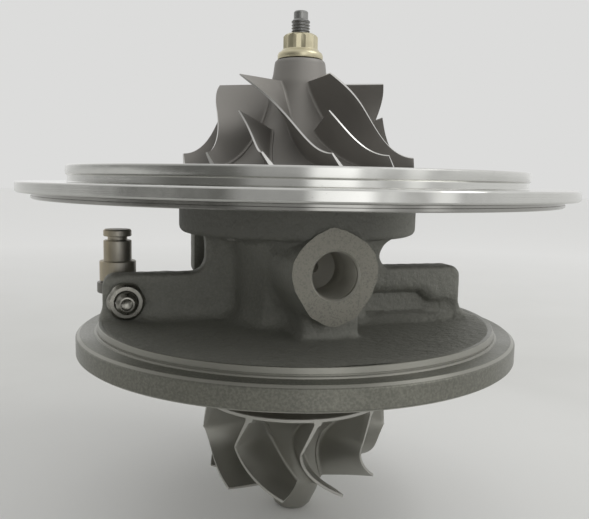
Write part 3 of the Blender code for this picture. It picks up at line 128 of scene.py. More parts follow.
# Matt paper: a broad faint cloudiness and no gloss, with painted light and shade by distance:
# lighter right round the cartridge's foot, a greyer painted shadow further out, and whiter far away
paper, tree = fresh("Paper matt white")
spot = add(tree, "ShaderNodeTexCoord").outputs["Object"]
cloud = add(tree, "ShaderNodeTexNoise", Vector=spot, Scale=1000 / 60, Detail=3.0, Roughness=0.5)
shade = add(tree, "ShaderNodeMixRGB", (cloud.outputs["Fac"], tint("#cbcbc8"), tint("#d6d6d4")))
away = add(tree, "ShaderNodeVectorMath", (spot,), {"operation": "LENGTH"})
# Painted light and shade: lighter paper within 75 mm of the axis, greyer from 150 mm, turning whiter from 200 to 700 mm
painted_light_near_foot = add(tree, "ShaderNodeMapRange", (away.outputs["Value"], 75 * MM, 150 * MM, 1.0, 0.0))
shade = add(tree, "ShaderNodeMixRGB", (painted_light_near_foot.outputs["Result"], shade.outputs["Color"], tint("#e2e2e0")))
far = add(tree, "ShaderNodeMapRange", (away.outputs["Value"], 200 * MM, 700 * MM, 0.0, 1.0))
shade = add(tree, "ShaderNodeMixRGB", (far.outputs["Result"], shade.outputs["Color"], tint("#ebebea")))
shell = add(tree, "ShaderNodeBsdfPrincipled", Base_Color=shade.outputs["Color"], Roughness=0.95)
add(tree, "ShaderNodeOutputMaterial", (shell.outputs["BSDF"],))
sideways = Vector((math.cos(math.radians(CAMERA_TURN)), -math.sin(math.radians(CAMERA_TURN)), 0.0))
frontways = Vector((sideways.y, -sideways.x, 0.0))
floor = piece("floor", [sideways * u * FLOOR_HALF + frontways * v + Vector((0, 0, FLOOR_Z - 0.1))
                        for u, v in ((-1, FLOOR_FRONT), (1, FLOOR_FRONT), (1, -FLOOR_HALF), (-1, -FLOOR_HALF))],
              [(0, 1, 2, 3)], paper)


def lamp(name, size, place, power):
    """Square soft lamp that faces the middle of the cartridge."""
    light = bpy.data.lights.new(name, "AREA")
    light.size = size * MM
    light.energy = power
    stand = bpy.data.objects.new(name, light)
    stand.location = Vector(place) * MM
    stand.rotation_euler = (Vector((0, 0, 20)) - Vector(place)).to_track_quat("-Z", "Y").to_euler()
    bpy.context.scene.collection.objects.link(stand)


lamp("lamp_right", 360, (420, -200, 560), 1.1)

room = bpy.data.worlds.new("room")
room.use_nodes = True
room.node_tree.nodes.clear()
tree = room.node_tree
way = add(tree, "ShaderNodeTexCoord").outputs["Generated"]
lean = add(tree, "ShaderNodeVectorMath", (way, (0.50, 0.34, 0.80)), {"operation": "DOT_PRODUCT"})
level = add(tree, "ShaderNodeMapRange", (lean.outputs["Value"], -0.36, 0.42, 0.0, 1.0)).outputs["Result"]
glow = add(tree, "ShaderNodeMixRGB", (level, tint("#7a7a77"), tint("#fbfbfa")))

# Bright windows low in front and to the right, as (degrees to the right, brightness)
WINDOWS = ((-180, 0.2), (-76, 0.2), (-58, 0.0), (-27, 0.0), (-20, 0.3), (2, 0.3), (8, 1.4), (25, 1.7),
           (30, 0.5), (34, 0.9), (39, 0.25), (48, 0.25), (51, 0.8), (57, 0.8), (62, 0.1), (100, 0.1), (180, 0.0))
to_right = add(tree, "ShaderNodeVectorMath", (way, sideways), {"operation": "DOT_PRODUCT"})
to_front = add(tree, "ShaderNodeVectorMath", (way, frontways), {"operation": "DOT_PRODUCT"})
turn = add(tree, "ShaderNodeMath", (to_right.outputs["Value"], to_front.outputs["Value"]), {"operation": "ARCTAN2"})
turn = add(tree, "ShaderNodeMapRange", (turn.outputs["Value"], -math.pi, math.pi, 0.0, 1.0))
panes = add(tree, "ShaderNodeValToRGB", (turn.outputs["Result"],))
while len(panes.color_ramp.elements) < len(WINDOWS):
    panes.color_ramp.elements.new(1.0)
for stop, (degrees, bright) in zip(panes.color_ramp.elements, WINDOWS):
    stop.position = (degrees + 180) / 360
    stop.color = (bright, bright, bright, 1.0)
height = add(tree, "ShaderNodeSeparateXYZ", (way,))
low = add(tree, "ShaderNodeMapRange", (height.outputs["Z"], 0.35, 0.75, 1.0, 0.0))
panes = add(tree, "ShaderNodeVectorMath", (panes.outputs["Color"],), {"operation": "SCALE"}, Scale=low.outputs["Result"])
glow = add(tree, "ShaderNodeVectorMath", (glow.outputs["Color"], panes.outputs["Vector"]), {"operation": "ADD"})
light = add(tree, "ShaderNodeBackground", Color=glow.outputs["Vector"], Strength=0.86)
seen = add(tree, "ShaderNodeBackground", Color=tint("#dcdcdb"), Strength=1.0)
by_eye = add(tree, "ShaderNodeLightPath").outputs["Is Camera Ray"]
shown = add(tree, "ShaderNodeMixShader", (by_eye, light.outputs["Background"], seen.outputs["Background"]))
add(tree, "ShaderNodeOutputWorld", (shown.outputs["Shader"],))
bpy.context.scene.world = room
bpy.context.scene.view_settings.view_transform = "Standard"


# Bearing housing casting
# Sand-cast ductile iron: column, webs and pads flow into each other with soft fillets.
# The oil pads and the crank boss are milled flat, and the oil inlet is tapped.
CAST_STEP = 0.6
CAST_FLOOR = 3.0
CAST_TOP, CAST_RISE = 6.1, 0.8
FLOOR_R = 47.6
COLUMN_R = 14.5
COLUMN_BACK = 4.5
UPPER_R = 28.9
UPPER_LOW = 28.2
UPPER_TOP = 35.8
WEB_FRONT, WEB_REAR = 5.0, 10.2
WEB_END, WEB_TOP, WEB_POST = 46.7, 17.8, 21.7
ARM_FRONT, ARM_REAR = -8.5, -1.5
ARM_END, ARM_TOP, ARM_POST = 41.5, 20.1, 19.1
INLET_FACE, INLET_Z = 29.1, 21.2
DRAIN_FACE, DRAIN_Z = 30.0, 20.5
BORE_R = 7.2
COUNTERBORE_R, COUNTERBORE_Z = 20.6, 29.0
CRANK_X, CRANK_Y = -29.7, 27.0
CRANK_BOSS_R, CRANK_BOSS_TOP = 7.9, 10.8
BUSH_HOLE_R = 5.6
STOP_X, STOP_Z = -41.3, 11.4


def flat_box(u, v, u_span, v_span, r):
    """Signed distance to a rectangle with rounded corners."""
    across = np.abs(u - sum(u_span) / 2) - (u_span[1] - u_span[0]) / 2 + r
    along = np.abs(v - sum(v_span) / 2) - (v_span[1] - v_span[0]) / 2 + r
    outside = np.hypot(np.maximum(across, 0), np.maximum(along, 0))
    return outside + np.minimum(np.maximum(across, along), 0) - r


def flat_outline(u, v, corners):
    """Signed distance to a closed outline of straight lines."""
    near = np.full(np.broadcast(u, v).shape, 1e6, dtype=np.float32)
    sign = np.ones_like(near)
    for (au, av), (bu, bv) in zip(corners, corners[-1:] + corners[:-1]):
        eu, ev = bu - au, bv - av
        wu, wv = u - au, v - av
        part = np.clip((wu * eu + wv * ev) / (eu * eu + ev * ev), 0, 1)
        near = np.minimum(near, (wu - eu * part) ** 2 + (wv - ev * part) ** 2)
        above, below, left = v >= av, v < bv, eu * wv > ev * wu
        sign = np.where((above & below & left) | (~above & ~below & ~left), -sign, sign)
    return sign * np.sqrt(near)


def thick(flat, w, low, high, r=0.0):
    """Gives a flat shape a thickness from low to high, with edges rounded by r."""
    inward = flat + r
    depth = np.abs(w - (low + high) / 2) - (high - low) / 2 + r
    outside = np.hypot(np.maximum(inward, 0), np.maximum(depth, 0))
    return outside + np.minimum(np.maximum(inward, depth), 0) - r


def melt(one, other, soft):
    """Union of two distances with a fillet between them."""
    part = np.clip(0.5 + 0.5 * (other - one) / soft, 0, 1)
    return other + (one - other) * part - soft * part * (1 - part)


def skin(field, low, step):
    """Points and quads of the surface where a sampled distance is zero."""
    inside = field < 0
    full = np.array(field.shape)
    count = np.zeros(full - 1, dtype=np.int8)
    for i in (0, 1):
        for j in (0, 1):
            for k in (0, 1):
                count += inside[i:full[0] - 1 + i, j:full[1] - 1 + j, k:full[2] - 1 + k]
    crossed = (count > 0) & (count < 8)
    cells = np.argwhere(crossed)
    number = np.full(crossed.shape, -1)
    number[crossed] = np.arange(len(cells))
    place = np.zeros((len(cells), 3))
    hits = np.zeros(len(cells))
    for axis in range(3):
        others = [a for a in range(3) if a != axis]
        for i in (0, 1):
            for j in (0, 1):
                start = cells.copy()
                start[:, others[0]] += i
                start[:, others[1]] += j
                end = start.copy()
                end[:, axis] += 1
                first, last = field[tuple(start.T)], field[tuple(end.T)]
                cut = (first < 0) != (last < 0)
                part = np.zeros(len(cells))
                part[cut] = first[cut] / (first[cut] - last[cut])
                point = start.astype(float)
                point[:, axis] += part
                place[cut] += point[cut]
                hits[cut] += 1
    points = np.array(low) + place / hits[:, None] * step
    quads = []
    for axis in range(3):
        u, v = (axis + 1) % 3, (axis + 2) % 3
        near = np.take(inside, range(full[axis] - 1), axis)
        far = np.take(inside, range(1, full[axis]), axis)
        edges = np.argwhere(near != far)
        edges = edges[(edges[:, u] > 0) & (edges[:, v] > 0)]
        edges = edges[(edges[:, u] < full[u] - 1) & (edges[:, v] < full[v] - 1)]
        ring = []
        for du, dv in ((-1, -1), (0, -1), (0, 0), (-1, 0)):
            cell = edges.copy()
            cell[:, u] += du
            cell[:, v] += dv
            ring.append(number[tuple(cell.T)])
        ring = np.stack(ring, axis=1)
        outward = near[tuple(edges.T)]
        quads.append(np.where(outward[:, None], ring, ring[:, ::-1]))
    return points, np.concatenate(quads).tolist()


low_corner = np.array((-49.0, -46.5, 1.6))
high_corner = np.array((46.6, 46.5, 38.8))
x, y, z = np.meshgrid(
    *[np.arange(a, b, CAST_STEP, dtype=np.float32) for a, b in zip(low_corner, high_corner)],
    indexing="ij", sparse=True)
axis_r = np.hypot(x, y)

cast = thick(axis_r - FLOOR_R, z, -4.0, CAST_TOP + CAST_RISE * np.clip((axis_r - 34) / 12, 0, 1), 0.3)
cast = melt(cast, thick(np.hypot(x, y - COLUMN_BACK) - COLUMN_R, z, 0, 34), 6.0)
cast = melt(cast, thick(axis_r - UPPER_R, z, UPPER_LOW, 42, 1.7), 8.5)

web = melt(
    flat_box(x, z, (-WEB_END, 8), (-8, WEB_TOP), 3.2),
    flat_box(x, z, (-WEB_POST, 10), (-8, 34), 1.0), 4.5)
cast = melt(cast, thick(web, y, WEB_FRONT, WEB_REAR, 1.1), 3.2)

arm = melt(
    flat_box(x, z, (-8, ARM_END), (-8, ARM_TOP), 2.8),
    flat_box(x, z, (-10, ARM_POST), (-8, 34), 1.0), 3.4)
gusset = flat_outline(x, z, [(8, 22), (ARM_POST - 1, 23.3), (ARM_POST + 7, 31.3), (8, 32)])
toe = flat_outline(x, z, [(ARM_END - 3, 4), (ARM_END + 3, 4), (ARM_END + 2.6, 6.6), (ARM_END - 1, 10.2), (ARM_END - 3, 10.2)])
arm = melt(melt(arm, gusset, 1.6), toe, 2.0)
cast = melt(cast, thick(arm, y, ARM_FRONT, ARM_REAR, 1.1), 3.0)
pocket = flat_outline(x, z, [(16.6, 8.6), (39.2, 8.6), (38.6, 10.1), (33.4, 10.4), (30.0, 13.2), (16.6, 13.3)])
pocket = thick(pocket - 0.2, y, -14.0, ARM_FRONT + np.clip((40 - x) * 0.35, 0, 2.8))
cast = -melt(-cast, pocket, 3.4)

# The pad's outline is drawn smaller and grown again, which rounds its corners
PAD_ROUND = 1.6
pad_corners = [(-1.0, 10.1), (1.0, 9.8), (4.6, 8.2), (6.8, 6.9), (8.8, 4.6), (9.6, 1.8), (9.3, -0.8), (8.1, -4.3),
               (4.6, -9.3), (1.2, -10.6), (0.0, -11.2), (-1.6, -10.8), (-5.2, -8.8), (-6.9, -6.0),
               (-8.8, -2.9), (-9.6, 0.2), (-9.3, 3.0), (-8.0, 5.2), (-6.4, 7.0), (-4.3, 8.6)]
shrink = 1 - PAD_ROUND / 9.6
pad = flat_outline(x, z, [(u * shrink, INLET_Z + v * shrink) for u, v in pad_corners]) - PAD_ROUND
pad = thick(pad - 0.035 * (y + INLET_FACE), y, -INLET_FACE - 2.5, COLUMN_BACK)
cast = melt(cast, pad, np.clip(0.4 + 0.45 * (y + 27), 0.2, 3.4))
foot = flat_box(x, z, (-5.0, 8.2), (-6, 13.2), 1.4)
cast = melt(cast, thick(foot, y, -22.6, 0, 1.2), 1.8)

cast = melt(cast, thick(np.hypot(x, z - DRAIN_Z) - 11.0, y, 0, 27), 3.0)
ears = np.minimum(flat_box(x, z, (-22.2, 22.2), (14.4, 30.5), 2.2), np.hypot(x, z - DRAIN_Z) - 11.5 + np.maximum(z - 30, 0))
cast = melt(cast, thick(ears, y, 24, DRAIN_FACE + 2.5, 0.8), 2.0)
crank_r = np.hypot(x - CRANK_X, y - CRANK_Y)
cast = melt(cast, thick(crank_r - CRANK_BOSS_R, z, -4, CRANK_BOSS_TOP, 0.5), 2.0)

# Skin roughness of the sand mould, a few hundredths of a millimetre high
ripple = 0.05 * np.sin(x * 1.7 + 1.3 * np.sin(z * 0.9)) * np.sin(y * 1.9 + 0.7 * np.sin(x * 1.1))
cast = cast + ripple * np.sin(z * 2.1 + 0.5 * np.sin(y * 1.3))

for cut in (
        axis_r - BORE_R,
        thick(axis_r - COUNTERBORE_R, z, COUNTERBORE_Z, 60),
        thick(np.hypot(x, z - DRAIN_Z) - 7.5, y, 13.05, 60),
        thick(np.hypot(np.abs(x) - 15.2, z - DRAIN_Z) - 2.5, y, 20, 60),
        crank_r - BUSH_HOLE_R,
        thick(np.hypot(x - STOP_X, z - STOP_Z) - 2.8, y, 0, 14)):
    cast = np.maximum(cast, -cut)
cast = np.maximum(cast, CAST_FLOOR - z)


# Ductile iron as cast: matt, dark grey with a brown cast, finely sandy to the eye,
# and painted shade on the upper flange below the backplate, fading out to the right
cast_iron, tree = fresh("Ductile iron as cast")
spot = add(tree, "ShaderNodeTexCoord").outputs["Object"]
blotch = add(tree, "ShaderNodeTexNoise", Vector=spot, Scale=1000 / 9, Detail=3.0)
grit = add(tree, "ShaderNodeTexNoise", Vector=spot, Scale=1000 / 0.7, Detail=4.0, Roughness=0.75)
tone = add(tree, "ShaderNodeMixRGB", (blotch.outputs["Fac"], tint("#7b7b74"), tint("#8b8b84")))
speck = add(tree, "ShaderNodeMapRange", (grit.outputs["Fac"], 0.42, 0.72, 0.0, 0.55))
tone = add(tree, "ShaderNodeMixRGB", (speck.outputs["Result"], tone.outputs["Color"], tint("#a2a29a")))
apart = add(tree, "ShaderNodeSeparateXYZ", (spot,))
# Painted shade: iron high on the upper flange, in the backplate's shadow, is darkened, less so towards the right
high = add(tree, "ShaderNodeMapRange", (apart.outputs["Z"], 25.5 * MM, 29.5 * MM, 0.0, 0.75))
left = add(tree, "ShaderNodeMapRange", (apart.outputs["X"], 8 * MM, 22 * MM, 1.0, 0.0))
painted_plate_shade = add(tree, "ShaderNodeMath", (high.outputs["Result"], left.outputs["Result"]), {"operation": "MULTIPLY"})
tone = add(tree, "ShaderNodeMixRGB", (painted_plate_shade.outputs["Value"], tone.outputs["Color"], tint("#5c5c57")))
gloss = add(tree, "ShaderNodeMapRange", (grit.outputs["Fac"], 0.3, 0.7, 0.55, 0.75))
pebble = add(tree, "ShaderNodeTexNoise", Vector=spot, Scale=1000 / 1.8, Detail=2.0, Roughness=0.5)
bump = add(tree, "ShaderNodeBump", Strength=0.9, Distance=0.45 * MM, Height=pebble.outputs["Fac"])
bump = add(tree, "ShaderNodeBump", Strength=0.8, Distance=0.2 * MM, Height=grit.outputs["Fac"],
           Normal=bump.outputs["Normal"])
shell = add(tree, "ShaderNodeBsdfPrincipled", Base_Color=tone.outputs["Color"], Metallic=0.35,
            Roughness=gloss.outputs["Result"], Normal=bump.outputs["Normal"])
add(tree, "ShaderNodeOutputMaterial", (shell.outputs["BSDF"],))

# The same iron face-milled: lighter, flat, with graphite specks
milled_iron, tree = fresh("Ductile iron face-milled")
spot = add(tree, "ShaderNodeTexCoord").outputs["Object"]
grain = add(tree, "ShaderNodeTexNoise", Vector=spot, Scale=1000 / 0.38, Detail=3.0, Roughness=0.7)
stain = add(tree, "ShaderNodeTexNoise", Vector=spot, Scale=1000 / 5, Detail=3.0)
tone = add(tree, "ShaderNodeMixRGB", (stain.outputs["Fac"], tint("#827f78"), tint("#8c8b80")))
dots = add(tree, "ShaderNodeMapRange", (grain.outputs["Fac"], 0.36, 0.52, 0.7, 0.0))
tone = add(tree, "ShaderNodeMixRGB", (dots.outputs["Result"], tone.outputs["Color"], tint("#63625c")))
gloss = add(tree, "ShaderNodeMapRange", (grain.outputs["Fac"], 0.3, 0.7, 0.38, 0.55))
bump = add(tree, "ShaderNodeBump", Strength=0.4, Distance=0.05 * MM, Height=grain.outputs["Fac"])
shell = add(tree, "ShaderNodeBsdfPrincipled", Base_Color=tone.outputs["Color"], Metallic=0.75,
            Roughness=gloss.outputs["Result"], Normal=bump.outputs["Normal"])
add(tree, "ShaderNodeOutputMaterial", (shell.outputs["BSDF"],))

# The same iron tapped: dark with oil, shiny on the crests
tapped_iron, tree = fresh("Ductile iron tapped")
shell = add(tree, "ShaderNodeBsdfPrincipled", Base_Color=tint("#b9b7ae"), Metallic=0.45, Roughness=0.4)
add(tree, "ShaderNodeOutputMaterial", (shell.outputs["BSDF"],))

cast_points, cast_faces = skin(cast, low_corner, CAST_STEP)
casting = piece("housing_casting", cast_points, cast_faces, cast_iron, milled_iron, tapped_iron)


def mill(target, point, outward, slot, kept=lambda spot: False):
    """Cuts a piece off flat at a plane, apart from what is kept, and gives the new face a finish."""
    mesh = bmesh.new()
    mesh.from_mesh(target.data)
    reached = [v for v in mesh.verts if not kept(v.co / MM)]
    faces = {face for v in reached for face in v.link_faces if all(not kept(w.co / MM) for w in face.verts)}
    edges = {edge for face in faces for edge in face.edges}
    cut = bmesh.ops.bisect_plane(mesh, geom=reached + list(edges) + list(faces), dist=1e-7, plane_co=Vector(point) * MM,
                                 plane_no=Vector(outward), clear_outer=True)["geom_cut"]
    rim = [part for part in cut if isinstance(part, bmesh.types.BMEdge)]
    filled = bmesh.ops.triangle_fill(mesh, use_beauty=True, use_dissolve=False, edges=rim)["geom"]
    for face in filled:
        if isinstance(face, bmesh.types.BMFace):
            face.material_index = slot
            face.smooth = False
    mesh.to_mesh(target.data)
    mesh.free()


mill(casting, (0, -INLET_FACE, 0), (0, -1, 0), 1, lambda spot: spot.z < 8)
mill(casting, (0, DRAIN_FACE, 0), (0, 1, 0), 1, lambda spot: spot.z < (8 if abs(spot.x) < 20 else 12))
mill(casting, (0, 0, UPPER_TOP), (0, 0, 1), 1)


def turned(name, outline, *finishes, sides=192):
    """Body turned about Z from a closed outline of (radius, height) points; one on the axis becomes a tip."""
    points, rings = [], []
    for r, h in outline:
        count = sides if r else 1
        rings.append(list(range(len(points), len(points) + count)) * (sides // count))
        turns = 2 * math.pi * np.arange(count) / count
        points += [(r * math.cos(turn), r * math.sin(turn), h) for turn in turns]
    faces = []
    for low, high in zip(rings, rings[1:] + rings[:1]):
        for i in range(sides):
            after = (i + 1) % sides
            corners = tuple(dict.fromkeys((low[i], low[after], high[after], high[i])))
            if len(corners) > 2:
                faces.append(corners)
    return piece(name, points, faces, *finishes)


def lay(made, turn, place):
    """Turns a piece's mesh and moves it to its place in millimetres."""
    made.data.transform(Matrix.Translation(Vector(place) * MM) @ Euler(turn).to_matrix().to_4x4())


def carve(target, cutter, operation="DIFFERENCE"):
    """Cuts one piece with another and throws the cutter away."""
    step = target.modifiers.new("carve", "BOOLEAN")
    step.solver = "EXACT"
    step.operation = operation
    step.object = cutter
    bpy.context.view_layer.update()
    done = bpy.data.meshes.new_from_object(target.evaluated_get(bpy.context.evaluated_depsgraph_get()))
    target.modifiers.remove(step)
    old = target.data
    target.data = done
    bpy.data.meshes.remove(old)
    bpy.data.objects.remove(cutter, do_unlink=True)
    soften(target)


# Oil inlet: chamfered mouth, fine thread, cone and feed hole
INLET_R = 5.1
THREAD_PITCH = 1.0
THREAD_DEPTH = 0.45
hole = [(0, -2.0), (INLET_R + 2.4, -2.0), (INLET_R + 0.4, 0.0), (INLET_R, 0.4)]
for k in range(9):
    start = 1.0 + k * THREAD_PITCH
    hole += [(INLET_R, start), (INLET_R + THREAD_DEPTH, start + THREAD_PITCH * 0.45)]
hole += [(INLET_R, 10.2), (INLET_R, 15.0), (1.8, 17.0), (1.8, 21.5), (0, 21.5)]
inlet_cutter = turned("inlet_cutter", hole, tapped_iron, sides=96)
lay(inlet_cutter, (-math.pi / 2, 0, 0), (0, -INLET_FACE, INLET_Z))
carve(casting, inlet_cutter)
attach(casting, "housing")
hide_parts("bearing_housing")


# Turbine-side flange
# The wide foot of the housing, fine turned all over: chamfered rim, a ledge,
# a low wall with a thin groove, and the nose that holds the turbine seal.
FLANGE_R = 52.9
RING_TOP = 7.1
WALL_R = 48.15

# Turned iron: fine rings on the flats and round the rim, drawn at 0.5 mm where the
# real feed is 0.1 mm, so that they show, and painted highlights round the low wall and on the rim's chamfers
turned_iron, tree = fresh("Ductile iron fine-turned")
spot = add(tree, "ShaderNodeTexCoord").outputs["Object"]
apart = add(tree, "ShaderNodeSeparateXYZ", (spot,))
flat = add(tree, "ShaderNodeCombineXYZ", (apart.outputs["X"], apart.outputs["Y"], 0.0))
radius = add(tree, "ShaderNodeVectorMath", (flat.outputs["Vector"],), {"operation": "LENGTH"})
reach = add(tree, "ShaderNodeMath", (radius.outputs["Value"], apart.outputs["Z"]), {"operation": "ADD"})
lines = add(tree, "ShaderNodeTexNoise", settings={"noise_dimensions": "1D"}, W=reach.outputs["Value"],
            Scale=1000 / 0.5, Detail=2.0, Roughness=0.6)
stain = add(tree, "ShaderNodeTexNoise", Vector=spot, Scale=1000 / 12, Detail=4.0, Roughness=0.6)
grain = add(tree, "ShaderNodeTexNoise", Vector=spot, Scale=1000 / 0.5, Detail=3.0)
tone = add(tree, "ShaderNodeMixRGB", (stain.outputs["Fac"], tint("#61615c"), tint("#7a7a70")))
fleck = add(tree, "ShaderNodeMapRange", (grain.outputs["Fac"], 0.4, 0.7, 0.0, 0.4))
tone = add(tree, "ShaderNodeMixRGB", (fleck.outputs["Result"], tone.outputs["Color"], tint("#98978c")))
# Painted highlights: lighter bands at the low wall and on the rim's chamfers, where glints are painted
for at, width in ((WALL_R + 0.1, 0.4), (FLANGE_R - 0.6, 0.22)):
    off = add(tree, "ShaderNodeMath", (radius.outputs["Value"], at * MM), {"operation": "SUBTRACT"})
    off = add(tree, "ShaderNodeMath", (off.outputs["Value"],), {"operation": "ABSOLUTE"})
    bright = add(tree, "ShaderNodeMapRange", (off.outputs["Value"], width * MM, (width + 0.15) * MM, 0.85, 0.0))
    tone = add(tree, "ShaderNodeMixRGB", (bright.outputs["Result"], tone.outputs["Color"], tint("#a09f97")))
gloss = add(tree, "ShaderNodeMapRange", (stain.outputs["Fac"], 0.3, 0.7, 0.36, 0.5))
bump = add(tree, "ShaderNodeBump", Strength=0.35, Distance=0.02 * MM, Height=lines.outputs["Fac"])
round_way = add(tree, "ShaderNodeVectorMath", (flat.outputs["Vector"], (0.0, 0.0, 1.0)), {"operation": "CROSS_PRODUCT"})
shell = add(tree, "ShaderNodeBsdfPrincipled", Base_Color=tone.outputs["Color"], Metallic=0.7,
            Roughness=gloss.outputs["Result"], Normal=bump.outputs["Normal"], Anisotropic=0.85,
            Anisotropic_Rotation=0.25, Tangent=round_way.outputs["Vector"])
add(tree, "ShaderNodeOutputMaterial", (shell.outputs["BSDF"],))

flange = turned("housing_flange", [
    (6.6, -8.6), (12.2, -8.6), (12.5, -8.3), (13.5, 1.3), (28.3, 1.3), (28.3, 0.2), (28.5, 0.0),
    (FLANGE_R - 0.65, 0.0), (FLANGE_R - 0.1, 0.45), (FLANGE_R, 0.65),
    (FLANGE_R, 4.3), (FLANGE_R - 0.12, 4.5), (FLANGE_R - 0.95, 5.1),
    (WALL_R + 0.75, 5.1), (WALL_R + 0.52, 5.15), (WALL_R + 0.4, 5.45), (WALL_R + 0.2, 5.52),
    (WALL_R - 0.2, 5.54), (WALL_R - 0.2, 5.88), (WALL_R, 5.95), (WALL_R - 0.3, RING_TOP - 0.1),
    (WALL_R - 0.45, RING_TOP), (WALL_R - 1.2, RING_TOP - 0.1), (WALL_R - 2.2, 6.5), (WALL_R - 2.2, 4.0), (BORE_R, 4.0),
    (BORE_R, 1.1), (9.2, 0.9), (9.2, -2.6), (6.6, -3.2),
], turned_iron, sides=256)
bush_cutter = turned("bush_cutter", [(0, -3), (BUSH_HOLE_R, -3), (BUSH_HOLE_R, 12), (0, 12)], sides=64)
lay(bush_cutter, (0, 0, 0), (CRANK_X, CRANK_Y, 0))
carve(flange, bush_cutter)
soften(flange, 12)
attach(flange, "housing")
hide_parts("bearing_housing")


# Compressor backplate
# One wide plate turned bright from an aluminium casting, with a rim, a raised step
# whose lower half is set back, a recess for the wheel and a spigot below.
PLATE_BOTTOM = 36.1
PLATE_TOP = 43.5
STEP_R = 54.44
RIM_R = 64.8
RIM_LOW, RIM_HIGH = 37.5, 39.8
LOWER_R = 61.64
RECESS_R = 28.8
RECESS_Z = 41.2

# Turned aluminium: bright rings at the lathe's feed, drawn at 0.4 mm where the real
# one is 0.08 mm, dull spots of handling, small dark nicks along the edges, and painted
# shade, a greyer tone, on the foot below the rim
bright_plate, tree = fresh("Aluminium fine-turned")
spot = add(tree, "ShaderNodeTexCoord").outputs["Object"]
apart = add(tree, "ShaderNodeSeparateXYZ", (spot,))
flat = add(tree, "ShaderNodeCombineXYZ", (apart.outputs["X"], apart.outputs["Y"], 0.0))
radius = add(tree, "ShaderNodeVectorMath", (flat.outputs["Vector"],), {"operation": "LENGTH"})
reach = add(tree, "ShaderNodeMath", (radius.outputs["Value"], apart.outputs["Z"]), {"operation": "ADD"})
lines = add(tree, "ShaderNodeTexNoise", settings={"noise_dimensions": "1D"}, W=reach.outputs["Value"],
            Scale=1000 / 0.4, Detail=2.0, Roughness=0.7)
smear = add(tree, "ShaderNodeTexNoise", Vector=spot, Scale=1000 / 16, Detail=4.0, Roughness=0.65)
chips = add(tree, "ShaderNodeTexNoise", Vector=spot, Scale=1000 / 0.9, Detail=3.0, Roughness=0.7)
tone = add(tree, "ShaderNodeMixRGB", (smear.outputs["Fac"], tint("#bcbcb8"), tint("#dcdcd9")))
worn = add(tree, "ShaderNodeMapRange", (chips.outputs["Fac"], 0.66, 0.72, 0.0, 1.0))
low_edge = add(tree, "ShaderNodeMath", (apart.outputs["Z"], RIM_LOW * MM), {"operation": "SUBTRACT"})
low_edge = add(tree, "ShaderNodeMath", (low_edge.outputs["Value"],), {"operation": "ABSOLUTE"})
beside = add(tree, "ShaderNodeMapRange", (low_edge.outputs["Value"], 0.2 * MM, 0.8 * MM, 1.0, 0.15))
worn = add(tree, "ShaderNodeMath", (worn.outputs["Result"], beside.outputs["Result"]), {"operation": "MULTIPLY"})
tone = add(tree, "ShaderNodeMixRGB", (worn.outputs["Value"], tone.outputs["Color"], tint("#5c5b58")))
# Painted shade: below the rim the plate is mixed towards grey, where its shadow lies
painted_shade_below_rim = add(tree, "ShaderNodeMapRange", (apart.outputs["Z"], (RIM_LOW - 0.1) * MM, (RIM_LOW + 0.3) * MM, 0.8, 0.0))
tone = add(tree, "ShaderNodeMixRGB", (painted_shade_below_rim.outputs["Result"], tone.outputs["Color"], tint("#908f8b")))
gloss = add(tree, "ShaderNodeMapRange", (smear.outputs["Fac"], 0.35, 0.65, 0.1, 0.26))
bump = add(tree, "ShaderNodeBump", Strength=0.3, Distance=0.015 * MM, Height=lines.outputs["Fac"])
round_way = add(tree, "ShaderNodeVectorMath", (flat.outputs["Vector"], (0.0, 0.0, 1.0)), {"operation": "CROSS_PRODUCT"})
shell = add(tree, "ShaderNodeBsdfPrincipled", Base_Color=tone.outputs["Color"], Metallic=1.0,
            Roughness=gloss.outputs["Result"], Normal=bump.outputs["Normal"], Anisotropic=0.6,
            Anisotropic_Rotation=0.25, Tangent=round_way.outputs["Vector"])
add(tree, "ShaderNodeOutputMaterial", (shell.outputs["BSDF"],))

plate = turned("backplate", [
    (6.3, 34.0), (14.3, 34.0), (14.3, 33.1), (20.1, 33.1), (20.3, 33.3),
    (20.3, 33.8), (18.9, 33.8), (18.9, 35.7), (20.3, 35.7), (20.3, PLATE_BOTTOM),
    (LOWER_R - 0.25, PLATE_BOTTOM), (LOWER_R, PLATE_BOTTOM + 0.2), (LOWER_R, 36.75), (LOWER_R - 0.15, 36.85),
    (LOWER_R - 0.15, 37.3), (LOWER_R + 0.1, RIM_LOW),
    (RIM_R - 0.4, RIM_LOW), (RIM_R, RIM_LOW + 0.35),
    (RIM_R, RIM_HIGH - 0.3), (RIM_R - 0.1, RIM_HIGH - 0.1), (RIM_R - 0.35, RIM_HIGH),
    (STEP_R - 0.2, RIM_HIGH), (STEP_R - 0.4, RIM_HIGH + 0.2),
    (STEP_R - 0.4, PLATE_TOP - 2.35), (STEP_R - 0.35, PLATE_TOP - 2.25), (STEP_R - 0.02, PLATE_TOP - 2.0),
    (STEP_R, PLATE_TOP - 1.9), (STEP_R, PLATE_TOP - 0.35), (STEP_R - 0.08, PLATE_TOP - 0.12),
    (STEP_R - 0.3, PLATE_TOP),
    (RECESS_R + 0.3, PLATE_TOP), (RECESS_R, PLATE_TOP - 0.3), (RECESS_R, RECESS_Z), (6.3, RECESS_Z),
], bright_plate, sides=256)
for k in range(4):
    turn = math.pi / 4 + math.pi / 2 * k
    screw_hole = turned("screw_hole", [
        (0, 35), (2.5, 35), (2.5, 38.3), (4.2, 38.4), (4.2, 43), (0, 43)], sides=40)
    lay(screw_hole, (0, 0, 0), (24.7 * math.cos(turn), 24.7 * math.sin(turn), 0))
    carve(plate, screw_hole)
soften(plate, 12)
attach(plate, "housing")
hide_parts("compressor_backplate")


